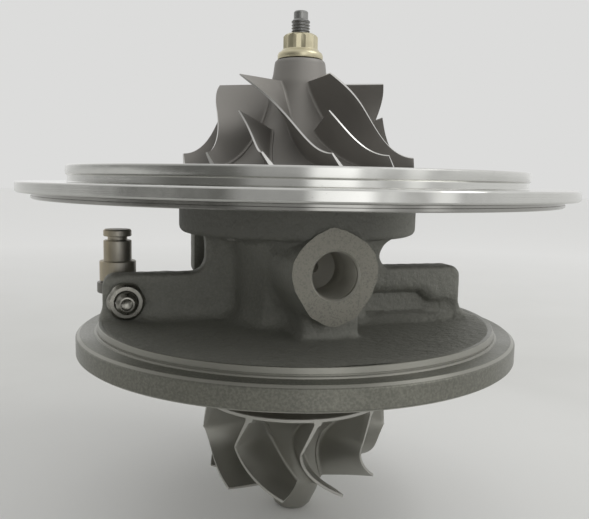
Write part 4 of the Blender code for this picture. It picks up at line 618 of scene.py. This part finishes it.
# Compressor wheel
# Cast and milled aluminium wheel: six full blades and six splitters, dull on their
# faces, with edges left bright by the last cut.
WHEEL_R = 28.0
WHEEL_BACK = 42.0
WHEEL_RIM = 1.1
EXDUCER_TIP = 46.65
INDUCER_R, INDUCER_Z = 20.2, 63.95
SHROUD_BEND = 57.5
INDUCER_HUB_R = 6.95
NOSE_R, NOSE_TOP = 6.15, 69.5
WRAP, LEAN = 55.6, 5.6
FULL_BLADE_AT = -147.8
SPLITTER_CUT = 0.37


def walk(points, part):
    """Point at a part of the length of a polyline."""
    points = np.asarray(points, dtype=float)
    lengths = np.concatenate([[0], np.cumsum(np.linalg.norm(np.diff(points, axis=0), axis=1))])
    wanted = part * lengths[-1]
    return np.array([np.interp(wanted, lengths, points[:, 0]), np.interp(wanted, lengths, points[:, 1])])


def at_step(points, part):
    """Point at a part of the way through evenly stepped points."""
    points = np.asarray(points, dtype=float)
    steps = np.linspace(0, 1, len(points))
    return np.array([np.interp(part, steps, points[:, 0]), np.interp(part, steps, points[:, 1])])


wheel_hub = [(WHEEL_R - (WHEEL_R - INDUCER_HUB_R) * math.cos(t),
              INDUCER_Z - (INDUCER_Z - WHEEL_BACK - WHEEL_RIM) * math.sin(t))
             for t in (math.pi / 2 * k / 48 for k in range(49))]
wheel_shroud = [(INDUCER_R, INDUCER_Z)] + [
    (WHEEL_R - (WHEEL_R - INDUCER_R) * math.cos(t), SHROUD_BEND - (SHROUD_BEND - EXDUCER_TIP) * math.sin(t))
    for t in (math.pi / 2 * k / 48 for k in range(49))]


def blade_mesh(name, root_at, tip_at, turn_at, thick_root, thick_tip, fillet, sunk, along, finishes):
    """Blade from root and tip lines (radius, height) and an angle; slot 1 is its cut edge."""
    heights = [-sunk, 0.0] + [fillet * part for part in (0.08, 0.22, 0.45, 0.75, 1.1)]
    spread = [0.18, 0.34, 0.5, 0.64, 0.76, 0.86, 0.94, 1.0]
    middle = []
    for i in range(along + 1):
        u = i / along
        root, tip = root_at(u), tip_at(u)
        span = np.linalg.norm(tip - root)
        rows = [h / span for h in heights]
        rows += [rows[-1] + (1 - rows[-1]) * part for part in spread]
        line = []
        for v in rows:
            place = root + (tip - root) * v
            turn = turn_at(u, v)
            line.append((place[0] * math.cos(turn), place[0] * math.sin(turn), place[1], v * span, v))
        middle.append(line)
    middle = np.array(middle)
    spots = middle[:, :, :3]
    run = np.gradient(spots, axis=0)
    rise = np.gradient(spots, axis=1)
    normal = np.cross(run, rise)
    normal /= np.linalg.norm(normal, axis=2, keepdims=True)
    up, part = middle[:, :, 3], np.clip(middle[:, :, 4], 0, 1)
    half = (thick_root + (thick_tip - thick_root) * part) / 2
    inside = np.clip(fillet - up, 0, fillet)
    half = half + fillet - np.sqrt(np.maximum(fillet ** 2 - inside ** 2, 0))
    u_grid = np.linspace(0, 1, along + 1)[:, None]
    half = half * (0.62 + 0.38 * np.clip(u_grid / 0.06, 0, 1))
    points = np.concatenate([(spots + normal * half[:, :, None]).reshape(-1, 3),
                             (spots - normal * half[:, :, None]).reshape(-1, 3)])
    across = spots.shape[1]
    other = (along + 1) * across
    faces, edges = [], []
    for i in range(along):
        for j in range(across - 1):
            a, b, c, d = i * across + j, (i + 1) * across + j, (i + 1) * across + j + 1, i * across + j + 1
            faces.append((a, b, c, d))
            faces.append((other + d, other + c, other + b, other + a))
    rim = [(i, 0) for i in range(along)] + [(along, j) for j in range(across - 1)]
    rim += [(i, across - 1) for i in range(along, 0, -1)] + [(0, j) for j in range(across - 1, 0, -1)]
    for (i, j), (m, n) in zip(rim, rim[1:] + rim[:1]):
        here, there = i * across + j, m * across + n
        edges.append((here, other + here, other + there, there))
    made = piece(name, points, faces + edges, *finishes)
    for face in made.data.polygons[len(faces):]:
        face.material_index = 1
    bm = bmesh.new()
    bm.from_mesh(made.data)
    bmesh.ops.recalc_face_normals(bm, faces=bm.faces)
    bm.to_mesh(made.data)
    bm.free()
    soften(made)
    return made


def ring_tree(name):
    """Node tree that sets a blade round Z a number of times."""
    tree = bpy.data.node_groups.new(name, "GeometryNodeTree")
    tree.interface.new_socket("Geometry", in_out="INPUT", socket_type="NodeSocketGeometry")
    tree.interface.new_socket("Blades", in_out="INPUT", socket_type="NodeSocketInt")
    tree.interface.new_socket("First angle", in_out="INPUT", socket_type="NodeSocketFloat")
    tree.interface.new_socket("Face finish", in_out="INPUT", socket_type="NodeSocketMaterial")
    tree.interface.new_socket("Edge finish", in_out="INPUT", socket_type="NodeSocketMaterial")
    tree.interface.new_socket("Geometry", in_out="OUTPUT", socket_type="NodeSocketGeometry")
    given = add(tree, "NodeGroupInput")
    spots = add(tree, "GeometryNodeMeshLine", Count=given.outputs["Blades"], Offset=(0, 0, 0))
    number = add(tree, "GeometryNodeInputIndex")
    step = add(tree, "ShaderNodeMath", (math.tau, given.outputs["Blades"]), {"operation": "DIVIDE"})
    turn = add(tree, "ShaderNodeMath", (number.outputs["Index"], step.outputs["Value"], given.outputs["First angle"]),
               {"operation": "MULTIPLY_ADD"})
    spin = add(tree, "ShaderNodeCombineXYZ", (0.0, 0.0, turn.outputs["Value"]))
    spin = add(tree, "FunctionNodeEulerToRotation", (spin.outputs["Vector"],))
    set_out = add(tree, "GeometryNodeInstanceOnPoints", Points=spots.outputs["Mesh"],
                  Instance=given.outputs["Geometry"], Rotation=spin.outputs["Rotation"])
    real = add(tree, "GeometryNodeRealizeInstances", (set_out.outputs["Instances"],))
    slot = add(tree, "GeometryNodeInputMaterialIndex")
    is_edge = add(tree, "FunctionNodeCompare", settings={"data_type": "INT", "operation": "EQUAL"})
    tree.links.new(slot.outputs["Material Index"], is_edge.inputs[2])
    is_edge.inputs[3].default_value = 1
    not_edge = add(tree, "FunctionNodeBooleanMath", (is_edge.outputs["Result"],), {"operation": "NOT"})
    faces = add(tree, "GeometryNodeSetMaterial", (real.outputs["Geometry"],),
                Selection=not_edge.outputs["Boolean"], Material=given.outputs["Face finish"])
    edges = add(tree, "GeometryNodeSetMaterial", (faces.outputs["Geometry"],),
                Selection=is_edge.outputs["Result"], Material=given.outputs["Edge finish"])
    add(tree, "NodeGroupOutput", (edges.outputs["Geometry"],))
    return tree


blade_ring = ring_tree("Blades round a hub")


def set_round(blade, count, first, finishes):
    """Repeats a blade round the rotor axis and keeps the result as plain mesh."""
    rows = blade.modifiers.new("round", "NODES")
    rows.node_group = blade_ring
    values = {"Blades": count, "First angle": math.radians(first),
              "Face finish": finishes[0], "Edge finish": finishes[1]}
    for item in blade_ring.interface.items_tree:
        if item.in_out == "INPUT" and item.name in values:
            rows[item.identifier] = values[item.name]
    bpy.context.view_layer.update()
    done = bpy.data.meshes.new_from_object(blade.evaluated_get(bpy.context.evaluated_depsgraph_get()))
    blade.modifiers.remove(rows)
    blade.data = done
    return blade


def unite(name, *parts):
    """Makes one object of several, keeping their finishes."""
    finishes = []
    mesh = bmesh.new()
    for part in parts:
        slots = []
        for finish in part.data.materials:
            if finish not in finishes:
                finishes.append(finish)
            slots.append(finishes.index(finish))
        start = len(mesh.faces)
        mesh.from_mesh(part.data)
        mesh.faces.ensure_lookup_table()
        for face in mesh.faces[start:]:
            face.material_index = slots[face.material_index]
    data = bpy.data.meshes.new(name)
    mesh.to_mesh(data)
    mesh.free()
    for finish in finishes:
        data.materials.append(finish)
    made = bpy.data.objects.new(name, data)
    bpy.context.scene.collection.objects.link(made)
    for part in parts:
        bpy.data.objects.remove(part, do_unlink=True)
    return made


# Aluminium, blasted after casting: dull mid grey, even, with a soft sheen
blasted_aluminium, tree = fresh("Aluminium blasted")
spot = add(tree, "ShaderNodeTexCoord").outputs["Object"]
cloud = add(tree, "ShaderNodeTexNoise", Vector=spot, Scale=1000 / 7, Detail=3.0)
grain = add(tree, "ShaderNodeTexNoise", Vector=spot, Scale=1000 / 0.5, Detail=2.0)
tone = add(tree, "ShaderNodeMixRGB", (cloud.outputs["Fac"], tint("#827f7b"), tint("#94918c")))
gloss = add(tree, "ShaderNodeMapRange", (cloud.outputs["Fac"], 0.3, 0.7, 0.5, 0.62))
bump = add(tree, "ShaderNodeBump", Strength=0.2, Distance=0.03 * MM, Height=grain.outputs["Fac"])
shell = add(tree, "ShaderNodeBsdfPrincipled", Base_Color=tone.outputs["Color"], Metallic=0.5,
            Roughness=gloss.outputs["Result"], Normal=bump.outputs["Normal"])
add(tree, "ShaderNodeOutputMaterial", (shell.outputs["BSDF"],))

# Fresh cut aluminium on the blade edges: bright and smooth
cut_aluminium, tree = fresh("Aluminium fresh cut")
shell = add(tree, "ShaderNodeBsdfPrincipled", Base_Color=tint("#c9c8c5"), Metallic=1.0, Roughness=0.34)
add(tree, "ShaderNodeOutputMaterial", (shell.outputs["BSDF"],))
wheel_finish = (blasted_aluminium, cut_aluminium)


def compressor_turn(part, v):
    curve = 1.85 * part - 1.24 * part ** 2 + 0.39 * part ** 3
    return math.radians(WRAP * curve + LEAN * part * (1 - v))


def wheel_blade(name, begin, along):
    return blade_mesh(
        name, lambda u: at_step(wheel_hub, begin + (1 - begin) * u),
        lambda u: walk(wheel_shroud, begin + (1 - begin) * u),
        lambda u, v: compressor_turn(begin + (1 - begin) * u, v),
        1.0, 0.4, 0.6, WHEEL_RIM * 0.55, along, wheel_finish)


full_blades = set_round(wheel_blade("full_blades", 0.0, 44), 6, FULL_BLADE_AT, wheel_finish)
splitters = set_round(wheel_blade("splitters", SPLITTER_CUT, 30), 6, FULL_BLADE_AT + 30, wheel_finish)
hub = turned("wheel_hub", [
    (2.55, WHEEL_BACK), (WHEEL_R - 0.1, WHEEL_BACK), (WHEEL_R, WHEEL_BACK + 0.1),
    (WHEEL_R, WHEEL_BACK + WHEEL_RIM - 0.05), *reversed(wheel_hub[:-1]),
    (INDUCER_HUB_R - 0.1, INDUCER_Z + 0.6), (NOSE_R + 0.3, NOSE_TOP - 3.2),
    (NOSE_R, NOSE_TOP - 0.9), (NOSE_R - 0.12, NOSE_TOP - 0.35), (NOSE_R - 0.45, NOSE_TOP), (2.55, NOSE_TOP),
], *wheel_finish, sides=160)
wheel = unite("compressor_wheel_bladed", full_blades, splitters, hub)
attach(wheel, "rotor")
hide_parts("compressor_wheel")


# Turbine wheel and shaft
# Investment-cast nickel alloy wheel, dark from heat treatment, welded to a ground
# steel shaft that carries the journals and ends in a thread and a plain stub.
DISC_R, DISC_Z = 22.9, -12.8
TIP_R, CORNER_Z = 23.1, -20.0
EXIT_R, EXIT_Z = 21.06, -32.1
HUB_R, HUB_Z = 7.4, -33.8
CONE_R, CONE_Z = 4.4, -42.3
LEAN_START, LEAN_CORNER = -20.6, -29.8
TURBINE_BLADE_AT = -112.2
SHAFT_R, THIN_R = 4.0, 2.22
THREAD_LOW, THREAD_TOP = 75.0, 79.2
STUB_R, STUB_TOP = 1.73, 81.15

# Nickel alloy as cast: very dark grey with a faint brown, smooth from the wax mould
nickel, tree = fresh("Nickel alloy as cast")
spot = add(tree, "ShaderNodeTexCoord").outputs["Object"]
cloud = add(tree, "ShaderNodeTexNoise", Vector=spot, Scale=1000 / 6, Detail=4.0)
grain = add(tree, "ShaderNodeTexNoise", Vector=spot, Scale=1000 / 0.6, Detail=2.0)
tone = add(tree, "ShaderNodeMixRGB", (cloud.outputs["Fac"], tint("#98978f"), tint("#aaa9a3")))
gloss = add(tree, "ShaderNodeMapRange", (cloud.outputs["Fac"], 0.3, 0.7, 0.4, 0.56))
bump = add(tree, "ShaderNodeBump", Strength=0.3, Distance=0.04 * MM, Height=grain.outputs["Fac"])
shell = add(tree, "ShaderNodeBsdfPrincipled", Base_Color=tone.outputs["Color"], Metallic=0.8,
            Roughness=gloss.outputs["Result"], Normal=bump.outputs["Normal"])
add(tree, "ShaderNodeOutputMaterial", (shell.outputs["BSDF"],))

# Nickel alloy ground to size on the blade edges and the disc's rim
ground_nickel, tree = fresh("Nickel alloy ground")
shell = add(tree, "ShaderNodeBsdfPrincipled", Base_Color=tint("#b0afa9"), Metallic=0.8, Roughness=0.45)
add(tree, "ShaderNodeOutputMaterial", (shell.outputs["BSDF"],))

# Ground shaft steel: grey, finely streaked round
shaft_steel, tree = fresh("Steel ground")
spot = add(tree, "ShaderNodeTexCoord").outputs["Object"]
height = add(tree, "ShaderNodeSeparateXYZ", (spot,)).outputs["Z"]
lines = add(tree, "ShaderNodeTexNoise", settings={"noise_dimensions": "1D"}, W=height, Scale=1000 / 0.3, Detail=2.0)
tone = add(tree, "ShaderNodeMixRGB", (lines.outputs["Fac"], tint("#7f7f7d"), tint("#9d9d9b")))
bump = add(tree, "ShaderNodeBump", Strength=0.2, Distance=0.02 * MM, Height=lines.outputs["Fac"])
shell = add(tree, "ShaderNodeBsdfPrincipled", Base_Color=tone.outputs["Color"], Metallic=0.9, Roughness=0.36,
            Normal=bump.outputs["Normal"])
add(tree, "ShaderNodeOutputMaterial", (shell.outputs["BSDF"],))

turbine_hub = [(DISC_R - (DISC_R - HUB_R) * math.sin(t), HUB_Z + (DISC_Z - HUB_Z) * math.cos(t))
               for t in (math.pi / 2 * k / 40 for k in range(41))]
turbine_tip = [(EXIT_R + (TIP_R - EXIT_R) * (1 - part) ** 2.6, CORNER_Z + (EXIT_Z - CORNER_Z) * part)
               for part in (k / 40 for k in range(41))]


def turbine_turn(height):
    if height > CORNER_Z:
        part = (DISC_Z - height) / (DISC_Z - CORNER_Z)
        return math.radians(LEAN_START + (LEAN_CORNER - LEAN_START) * part)
    part = min((CORNER_Z - height) / (CORNER_Z - EXIT_Z), 1.15)
    return math.radians(LEAN_CORNER * (1 - part ** 2.1))


def turbine_blade():
    def root_at(u):
        return at_step(turbine_hub, u) + np.array((0.0, -0.3 * (1 - u)))

    def tip_at(u):
        return at_step(turbine_tip, u)

    def turn_at(u, v):
        root, tip = root_at(u), tip_at(u)
        return turbine_turn((root + (tip - root) * v)[1])

    return blade_mesh("turbine_blades", root_at, tip_at, turn_at, 1.5, 0.6, 0.7, 0.9, 44, (nickel, ground_nickel))


blades = set_round(turbine_blade(), 9, TURBINE_BLADE_AT, (nickel, ground_nickel))
thread = []
PITCH = 0.7
turns_up = int((THREAD_TOP - THREAD_LOW) / PITCH)
for k in range(turns_up):
    low = THREAD_LOW + k * PITCH
    thread += [(THIN_R, low), (THIN_R, low + 0.12), (THIN_R - 0.3, low + 0.35), (THIN_R - 0.3, low + 0.47)]
shaft = turned("turbine_shaft", [
    (0, CONE_Z), (CONE_R - 1.2, CONE_Z), (CONE_R - 0.3, CONE_Z + 0.25), (CONE_R + 0.3, CONE_Z + 0.9),
    (HUB_R - 1.1, (CONE_Z + HUB_Z) / 2), (HUB_R - 0.3, HUB_Z - 1.6), (HUB_R - 0.05, HUB_Z - 0.5),
    *reversed(turbine_hub[1:]), (DISC_R - 0.15, DISC_Z + 0.05), (DISC_R, DISC_Z + 0.2),
    (DISC_R, DISC_Z + 0.85), (DISC_R - 0.15, DISC_Z + 1.0), (DISC_R * 0.85, DISC_Z + 1.3),
    (9.3, -10.4), (6.3, -10.1),
    (6.3, -6.99), (5.2, -6.99), (5.2, -5.39), (6.3, -5.39), (6.3, -3.7), (4.9, -3.0), (SHAFT_R, -2.0),
    (SHAFT_R, 27.0), (THIN_R - 0.02, 27.0), *thread, (THIN_R, THREAD_TOP - 0.45), (THIN_R - 0.25, THREAD_TOP - 0.15),
    (STUB_R, THREAD_TOP + 0.1), (STUB_R, STUB_TOP - 0.3), (STUB_R - 0.25, STUB_TOP), (0, STUB_TOP),
], nickel, shaft_steel, ground_nickel, sides=128)
for face in shaft.data.polygons:
    spot = face.center / MM
    if spot.z > -3.2:
        face.material_index = 1
    elif abs(spot.z - DISC_Z - 0.5) < 0.45 and math.hypot(spot.x, spot.y) > DISC_R - 0.3:
        face.material_index = 2
rotor = unite("turbine_wheel_on_shaft", blades, shaft)
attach(rotor, "rotor")
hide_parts("shaft_and_turbine_wheel")


# Shaft nut
# Flanged nut with a double hexagon for a 7 mm ring spanner, steel with yellow
# zinc plate, its crown chamfered.
NUT_LOW = 69.8
NUT_FLANGE_R = 5.47
NUT_ACROSS = 7.36
NUT_TOP = 75.75

# Yellow zinc plate: pale gold with an uneven tint of the chromate
zinc_gold, tree = fresh("Yellow zinc plate")
spot = add(tree, "ShaderNodeTexCoord").outputs["Object"]
cloud = add(tree, "ShaderNodeTexNoise", Vector=spot, Scale=1000 / 2.5, Detail=3.0)
tone = add(tree, "ShaderNodeMixRGB", (cloud.outputs["Fac"], tint("#b8b094"), tint("#d2cbb0")))
gloss = add(tree, "ShaderNodeMapRange", (cloud.outputs["Fac"], 0.3, 0.7, 0.28, 0.4))
shell = add(tree, "ShaderNodeBsdfPrincipled", Base_Color=tone.outputs["Color"], Metallic=1.0,
            Roughness=gloss.outputs["Result"])
add(tree, "ShaderNodeOutputMaterial", (shell.outputs["BSDF"],))

nut = turned("shaft_nut", [
    (2.55, NUT_LOW), (NUT_FLANGE_R - 0.1, NUT_LOW), (NUT_FLANGE_R, NUT_LOW + 0.15),
    (NUT_FLANGE_R, NUT_LOW + 1.0), (NUT_FLANGE_R - 0.25, NUT_LOW + 1.5), (NUT_FLANGE_R - 0.8, NUT_LOW + 1.85),
    (4.35, NUT_LOW + 2.3), (4.3, NUT_LOW + 2.6), (4.3, NUT_TOP - 0.9), (3.9, NUT_TOP - 0.35),
    (3.3, NUT_TOP), (2.75, NUT_TOP), (2.55, NUT_TOP - 0.2),
], zinc_gold, sides=144)
corner_r = NUT_ACROSS / math.sqrt(3)
notch_r = NUT_ACROSS / 2 / math.cos(math.radians(15))
star = []
for k in range(24):
    r = corner_r if k % 2 == 0 else notch_r
    star.append((r * math.cos(math.pi * k / 12), r * math.sin(math.pi * k / 12)))


def upright(name, outline, low, high, *finishes):
    """Straight body of a flat outline between two heights."""
    count = len(outline)
    points = [(u, v, low) for u, v in outline] + [(u, v, high) for u, v in outline]
    faces = [tuple(reversed(range(count))), tuple(range(count, 2 * count))]
    faces += [(k, (k + 1) % count, count + (k + 1) % count, count + k) for k in range(count)]
    return piece(name, points, faces, *finishes)


flats = upright("nut_flats", star, NUT_LOW + 2.0, NUT_TOP + 1, zinc_gold)
zone = turned("nut_zone", [(0, NUT_LOW - 1), (8, NUT_LOW - 1), (8, NUT_LOW + 2.3), (0, NUT_LOW + 2.3)],
              zinc_gold, sides=64)
carve(flats, zone, "UNION")
carve(nut, flats, "INTERSECT")
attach(nut, "rotor")
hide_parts("rotor_nut")


# Heat shield
# Thin dish pressed from stainless sheet, between the turbine wheel and the nose.
scaled_sheet, tree = fresh("Stainless sheet scaled")
spot = add(tree, "ShaderNodeTexCoord").outputs["Object"]
cloud = add(tree, "ShaderNodeTexNoise", Vector=spot, Scale=1000 / 5, Detail=4.0)
tone = add(tree, "ShaderNodeMixRGB", (cloud.outputs["Fac"], tint("#5b5750"), tint("#7a766e")))
shell = add(tree, "ShaderNodeBsdfPrincipled", Base_Color=tone.outputs["Color"], Metallic=0.85, Roughness=0.45)
add(tree, "ShaderNodeOutputMaterial", (shell.outputs["BSDF"],))
shield = turned("pressed_shield", [
    (6.9, -9.6), (15.6, -9.6), (16.4, -9.4), (16.9, -8.7), (22.9, -0.6), (23.6, 0.15), (24.2, 0.3),
    (28.0, 0.3), (28.0, 1.0), (23.9, 1.0), (23.2, 0.7), (22.5, 0.1), (16.4, -8.3), (15.6, -8.9), (6.9, -8.9),
], scaled_sheet, sides=160)
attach(shield, "housing")
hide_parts("heat_shield")


# Crank of the variable nozzle
# A grooved pin riveted into a flat arm on a shaft that passes through the flange
# in a bush; the inner arm below turns the nozzle ring.
PIN_X, PIN_Y = -42.7, 16.8
ARM_LOW, ARM_HIGH = 11.7, 14.4

# Turned steel, tinted brown by heat on one side, with faint lengthwise streaks
tinted_steel, tree = fresh("Steel turned and heat-tinted")
spot = add(tree, "ShaderNodeTexCoord").outputs["Object"]
apart = add(tree, "ShaderNodeSeparateXYZ", (spot,))
long_way = add(tree, "ShaderNodeMapping", (spot,), Scale=(1.0, 1.0, 0.12))
streak = add(tree, "ShaderNodeTexNoise", Vector=long_way.outputs["Vector"], Scale=1000 / 1.1, Detail=3.0)
side = add(tree, "ShaderNodeMapRange", (apart.outputs["X"], (PIN_X - 2.6) * MM, (PIN_X + 0.4) * MM, 1.0, 0.0))
tone = add(tree, "ShaderNodeMixRGB", (side.outputs["Result"], tint("#a09e98"), tint("#b8aa8c")))
tone = add(tree, "ShaderNodeMixRGB", (streak.outputs["Fac"], tone.outputs["Color"], tint("#a8a398")))
gloss = add(tree, "ShaderNodeMapRange", (streak.outputs["Fac"], 0.3, 0.7, 0.38, 0.5))
shell = add(tree, "ShaderNodeBsdfPrincipled", Base_Color=tone.outputs["Color"], Metallic=0.9,
            Roughness=gloss.outputs["Result"])
add(tree, "ShaderNodeOutputMaterial", (shell.outputs["BSDF"],))

# Stamped steel, oiled: mid grey, slightly mottled
stamped_steel, tree = fresh("Steel stamped")
spot = add(tree, "ShaderNodeTexCoord").outputs["Object"]
cloud = add(tree, "ShaderNodeTexNoise", Vector=spot, Scale=1000 / 2.0, Detail=4.0)
tone = add(tree, "ShaderNodeMixRGB", (cloud.outputs["Fac"], tint("#696863"), tint("#85837d")))
bump = add(tree, "ShaderNodeBump", Strength=0.2, Distance=0.03 * MM, Height=cloud.outputs["Fac"])
shell = add(tree, "ShaderNodeBsdfPrincipled", Base_Color=tone.outputs["Color"], Metallic=0.8, Roughness=0.42,
            Normal=bump.outputs["Normal"])
add(tree, "ShaderNodeOutputMaterial", (shell.outputs["BSDF"],))

pin = turned("grooved_pin", [
    (0, 11.4), (2.45, 11.4), (2.45, 14.7), (4.4, 14.7), (4.55, 14.85), (4.55, 19.6), (4.35, 19.8),
    (3.6, 19.8), (3.5, 19.95), (3.5, 24.85), (3.35, 25.0), (2.5, 25.05), (2.45, 25.15), (2.45, 25.95),
    (2.5, 26.05), (3.35, 26.05), (3.5, 26.2), (3.5, 27.45), (3.15, 27.8), (0, 27.8),
], tinted_steel, sides=72)
lay(pin, (0, 0, 0), (PIN_X, PIN_Y, 0))
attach(pin, "crank")
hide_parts("actuator_pin")


def eye_outline(first, first_r, second, second_r, steps=20):
    """Outline drawn tight round two circles."""
    heading = math.atan2(second[1] - first[1], second[0] - first[0])
    lean = math.acos((first_r - second_r) / math.dist(first, second))
    outline = []
    for centre, r, begin, swing in ((first, first_r, heading + lean, 2 * (math.pi - lean)),
                                    (second, second_r, heading - lean, 2 * lean)):
        for k in range(steps + 1):
            turn = begin + swing * k / steps
            outline.append((centre[0] + r * math.cos(turn), centre[1] + r * math.sin(turn)))
    return outline


def bevel(made, width, segments=2):
    """Rounds the sharp edges of a piece for good."""
    step = made.modifiers.new("bevel", "BEVEL")
    step.width = width * MM
    step.segments = segments
    step.limit_method = "ANGLE"
    step.angle_limit = math.radians(40)
    bpy.context.view_layer.update()
    done = bpy.data.meshes.new_from_object(made.evaluated_get(bpy.context.evaluated_depsgraph_get()))
    made.modifiers.remove(step)
    made.data = done
    soften(made)


outer_arm = upright("outer_arm", eye_outline((CRANK_X, CRANK_Y), 6.2, (PIN_X, PIN_Y), 5.2), ARM_LOW, ARM_HIGH,
                    stamped_steel)
for place, r in (((CRANK_X, CRANK_Y), 2.8), ((PIN_X, PIN_Y), 2.75)):
    drill = turned("drill", [(0, 10), (r, 10), (r, 16), (0, 16)], stamped_steel, sides=48)
    lay(drill, (0, 0, 0), (*place, 0))
    carve(outer_arm, drill)
bevel(outer_arm, 0.3)
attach(outer_arm, "crank")
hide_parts("crank_arm")


# Crank shaft, bush and inner arm
# A stepped steel shaft, its ends riveted over the two arms, in a sintered bush;
# the inner arm carries the pin that works the nozzle ring.
CRANK_SHAFT_R = 3.1
NECK_R = 2.5
INNER_LOW, INNER_HIGH = -5.9, -2.9
crank_rod = turned("riveted_shaft", [
    (0, -6.2), (NECK_R - 0.2, -6.2), (NECK_R, -6.0), (NECK_R, -2.6), (CRANK_SHAFT_R, -2.6),
    (CRANK_SHAFT_R, 11.4), (NECK_R, 11.4), (NECK_R, 14.9), (NECK_R - 0.3, 15.15), (NECK_R * 0.6, 15.3), (0, 15.3),
], stamped_steel, sides=64)
lay(crank_rod, (0, 0, 0), (CRANK_X, CRANK_Y, 0))
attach(crank_rod, "crank")
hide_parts("crank_shaft")

toward_axis = Vector((-CRANK_X, -CRANK_Y)).normalized() * 9.5
ring_pin_at = (CRANK_X + toward_axis.x, CRANK_Y + toward_axis.y)
inner_arm = upright("inner_arm", eye_outline((CRANK_X, CRANK_Y), 5.2, ring_pin_at, 3.6), INNER_LOW, INNER_HIGH,
                    stamped_steel)
bevel(inner_arm, 0.3)
ring_pin = turned("ring_pin", [
    (0, -9.9), (1.7, -9.9), (2.0, -9.6), (2.0, -4.4), (0, -4.4)], stamped_steel, sides=48)
lay(ring_pin, (0, 0, 0), (*ring_pin_at, 0))
carve(inner_arm, ring_pin, "UNION")
drill = turned("drill", [(0, -10), (2.8, -10), (2.8, 0), (0, 0)], stamped_steel, sides=48)
lay(drill, (0, 0, 0), (CRANK_X, CRANK_Y, 0))
carve(inner_arm, drill)
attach(inner_arm, "crank")
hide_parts("inner_crank_arm")


# Stop screw and its lock nut
# A short set screw with a hexagon socket stands out of the lug; a thin nut, its
# corners turned off, locks it against the lug's face.
STOP_FRONT, STOP_TIP = -1.4, 11.49
STOP_R = 2.5
LOCK_ACROSS, LOCK_THICK = 8.6, 2.8

# Plated steel: bright grey with small dark patches in the zinc
plated_steel, tree = fresh("Steel zinc-plated")
spot = add(tree, "ShaderNodeTexCoord").outputs["Object"]
cloud = add(tree, "ShaderNodeTexNoise", Vector=spot, Scale=1000 / 1.6, Detail=4.0, Roughness=0.6)
tone = add(tree, "ShaderNodeMixRGB", (cloud.outputs["Fac"], tint("#73726c"), tint("#aeaca4")))
gloss = add(tree, "ShaderNodeMapRange", (cloud.outputs["Fac"], 0.3, 0.7, 0.38, 0.22))
shell = add(tree, "ShaderNodeBsdfPrincipled", Base_Color=tone.outputs["Color"], Metallic=1.0,
            Roughness=gloss.outputs["Result"])
add(tree, "ShaderNodeOutputMaterial", (shell.outputs["BSDF"],))

length = STOP_TIP - STOP_FRONT
grooves = []
for k in range(int((length - 2.2) / 0.8)):
    low = 1.2 + 0.8 * k
    grooves += [(STOP_R, low), (STOP_R, low + 0.15), (STOP_R - 0.32, low + 0.42), (STOP_R - 0.32, low + 0.5)]
set_screw = turned("set_screw", [
    (0, 0), (STOP_R * 0.6, 0), (STOP_R - 0.1, 1.0), *grooves,
    (STOP_R, length - 0.75), (STOP_R - 0.65, length - 0.05), (STOP_R - 0.75, length),
    (1.45, length), (1.35, length - 0.1), (1.3, length - 1.7), (0, length - 2.3),
], plated_steel, sides=72)
lay(set_screw, (math.pi / 2, 0, 0), (STOP_X, STOP_TIP, STOP_Z))
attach(set_screw, "housing")
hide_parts("stop_screw")

lock = turned("lock_nut", [
    (2.56, 0.3), (4.3, 0.3), (4.55, 0.55), (4.55, LOCK_THICK - 0.75), (4.3, LOCK_THICK - 0.25),
    (3.75, LOCK_THICK + 0.3), (2.9, LOCK_THICK + 0.3), (2.56, LOCK_THICK - 0.1),
], plated_steel, sides=96)
corner = LOCK_ACROSS / math.sqrt(3)
six = [(corner * math.cos(math.pi * k / 3), corner * math.sin(math.pi * k / 3)) for k in range(6)]
carve(lock, upright("lock_flats", six, -1, 5, plated_steel), "INTERSECT")
lay(lock, (math.pi / 2, 0, 0), (STOP_X, WEB_FRONT, STOP_Z))
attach(lock, "housing")
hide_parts("stop_screw_nut")


# Parts inside, kept from the frame
# Bearings, rings, thrust parts and screws are hidden in a whole cartridge, and
# keep the frame's own shapes.
def plain_metal(name, dark, light, rough, size, metallic=1.0):
    """Material of one metal with a cloudy tone."""
    finish, tree = fresh(name)
    spot = add(tree, "ShaderNodeTexCoord").outputs["Object"]
    cloud = add(tree, "ShaderNodeTexNoise", Vector=spot, Scale=1000 / size, Detail=3.0)
    tone = add(tree, "ShaderNodeMixRGB", (cloud.outputs["Fac"], tint(dark), tint(light)))
    shell = add(tree, "ShaderNodeBsdfPrincipled", Base_Color=tone.outputs["Color"], Metallic=metallic, Roughness=rough)
    add(tree, "ShaderNodeOutputMaterial", (shell.outputs["BSDF"],))
    return finish


inside = {
    plain_metal("Bronze bored and turned", "#9a7544", "#c49a63", 0.3, 3.0):
        ("turbine_side_bearing", "compressor_side_bearing", "thrust_bearing"),
    plain_metal("Spring steel hardened", "#3a3b3f", "#55565a", 0.35, 2.0):
        ("snap_ring_1", "snap_ring_2", "snap_ring_3", "snap_ring_4", "turbine_piston_ring", "compressor_piston_ring"),
    plain_metal("Nitrile rubber black", "#101010", "#1c1c1c", 0.6, 2.0, 0.0): ("housing_oring",),
    plain_metal("Steel sintered", "#55524c", "#78746c", 0.45, 1.0): ("crank_bush",),
    shaft_steel: ("thrust_collar", "seal_sleeve"),
    stamped_steel: ("thrust_pin_1", "thrust_pin_2", "oil_deflector", "locating_dowel",
                    "backplate_screw_1", "backplate_screw_2", "backplate_screw_3", "backplate_screw_4"),
}
for finish, names in inside.items():
    for name in names:
        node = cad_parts[name]
        node.data.materials.clear()
        node.data.materials.append(finish)
        soften(node)
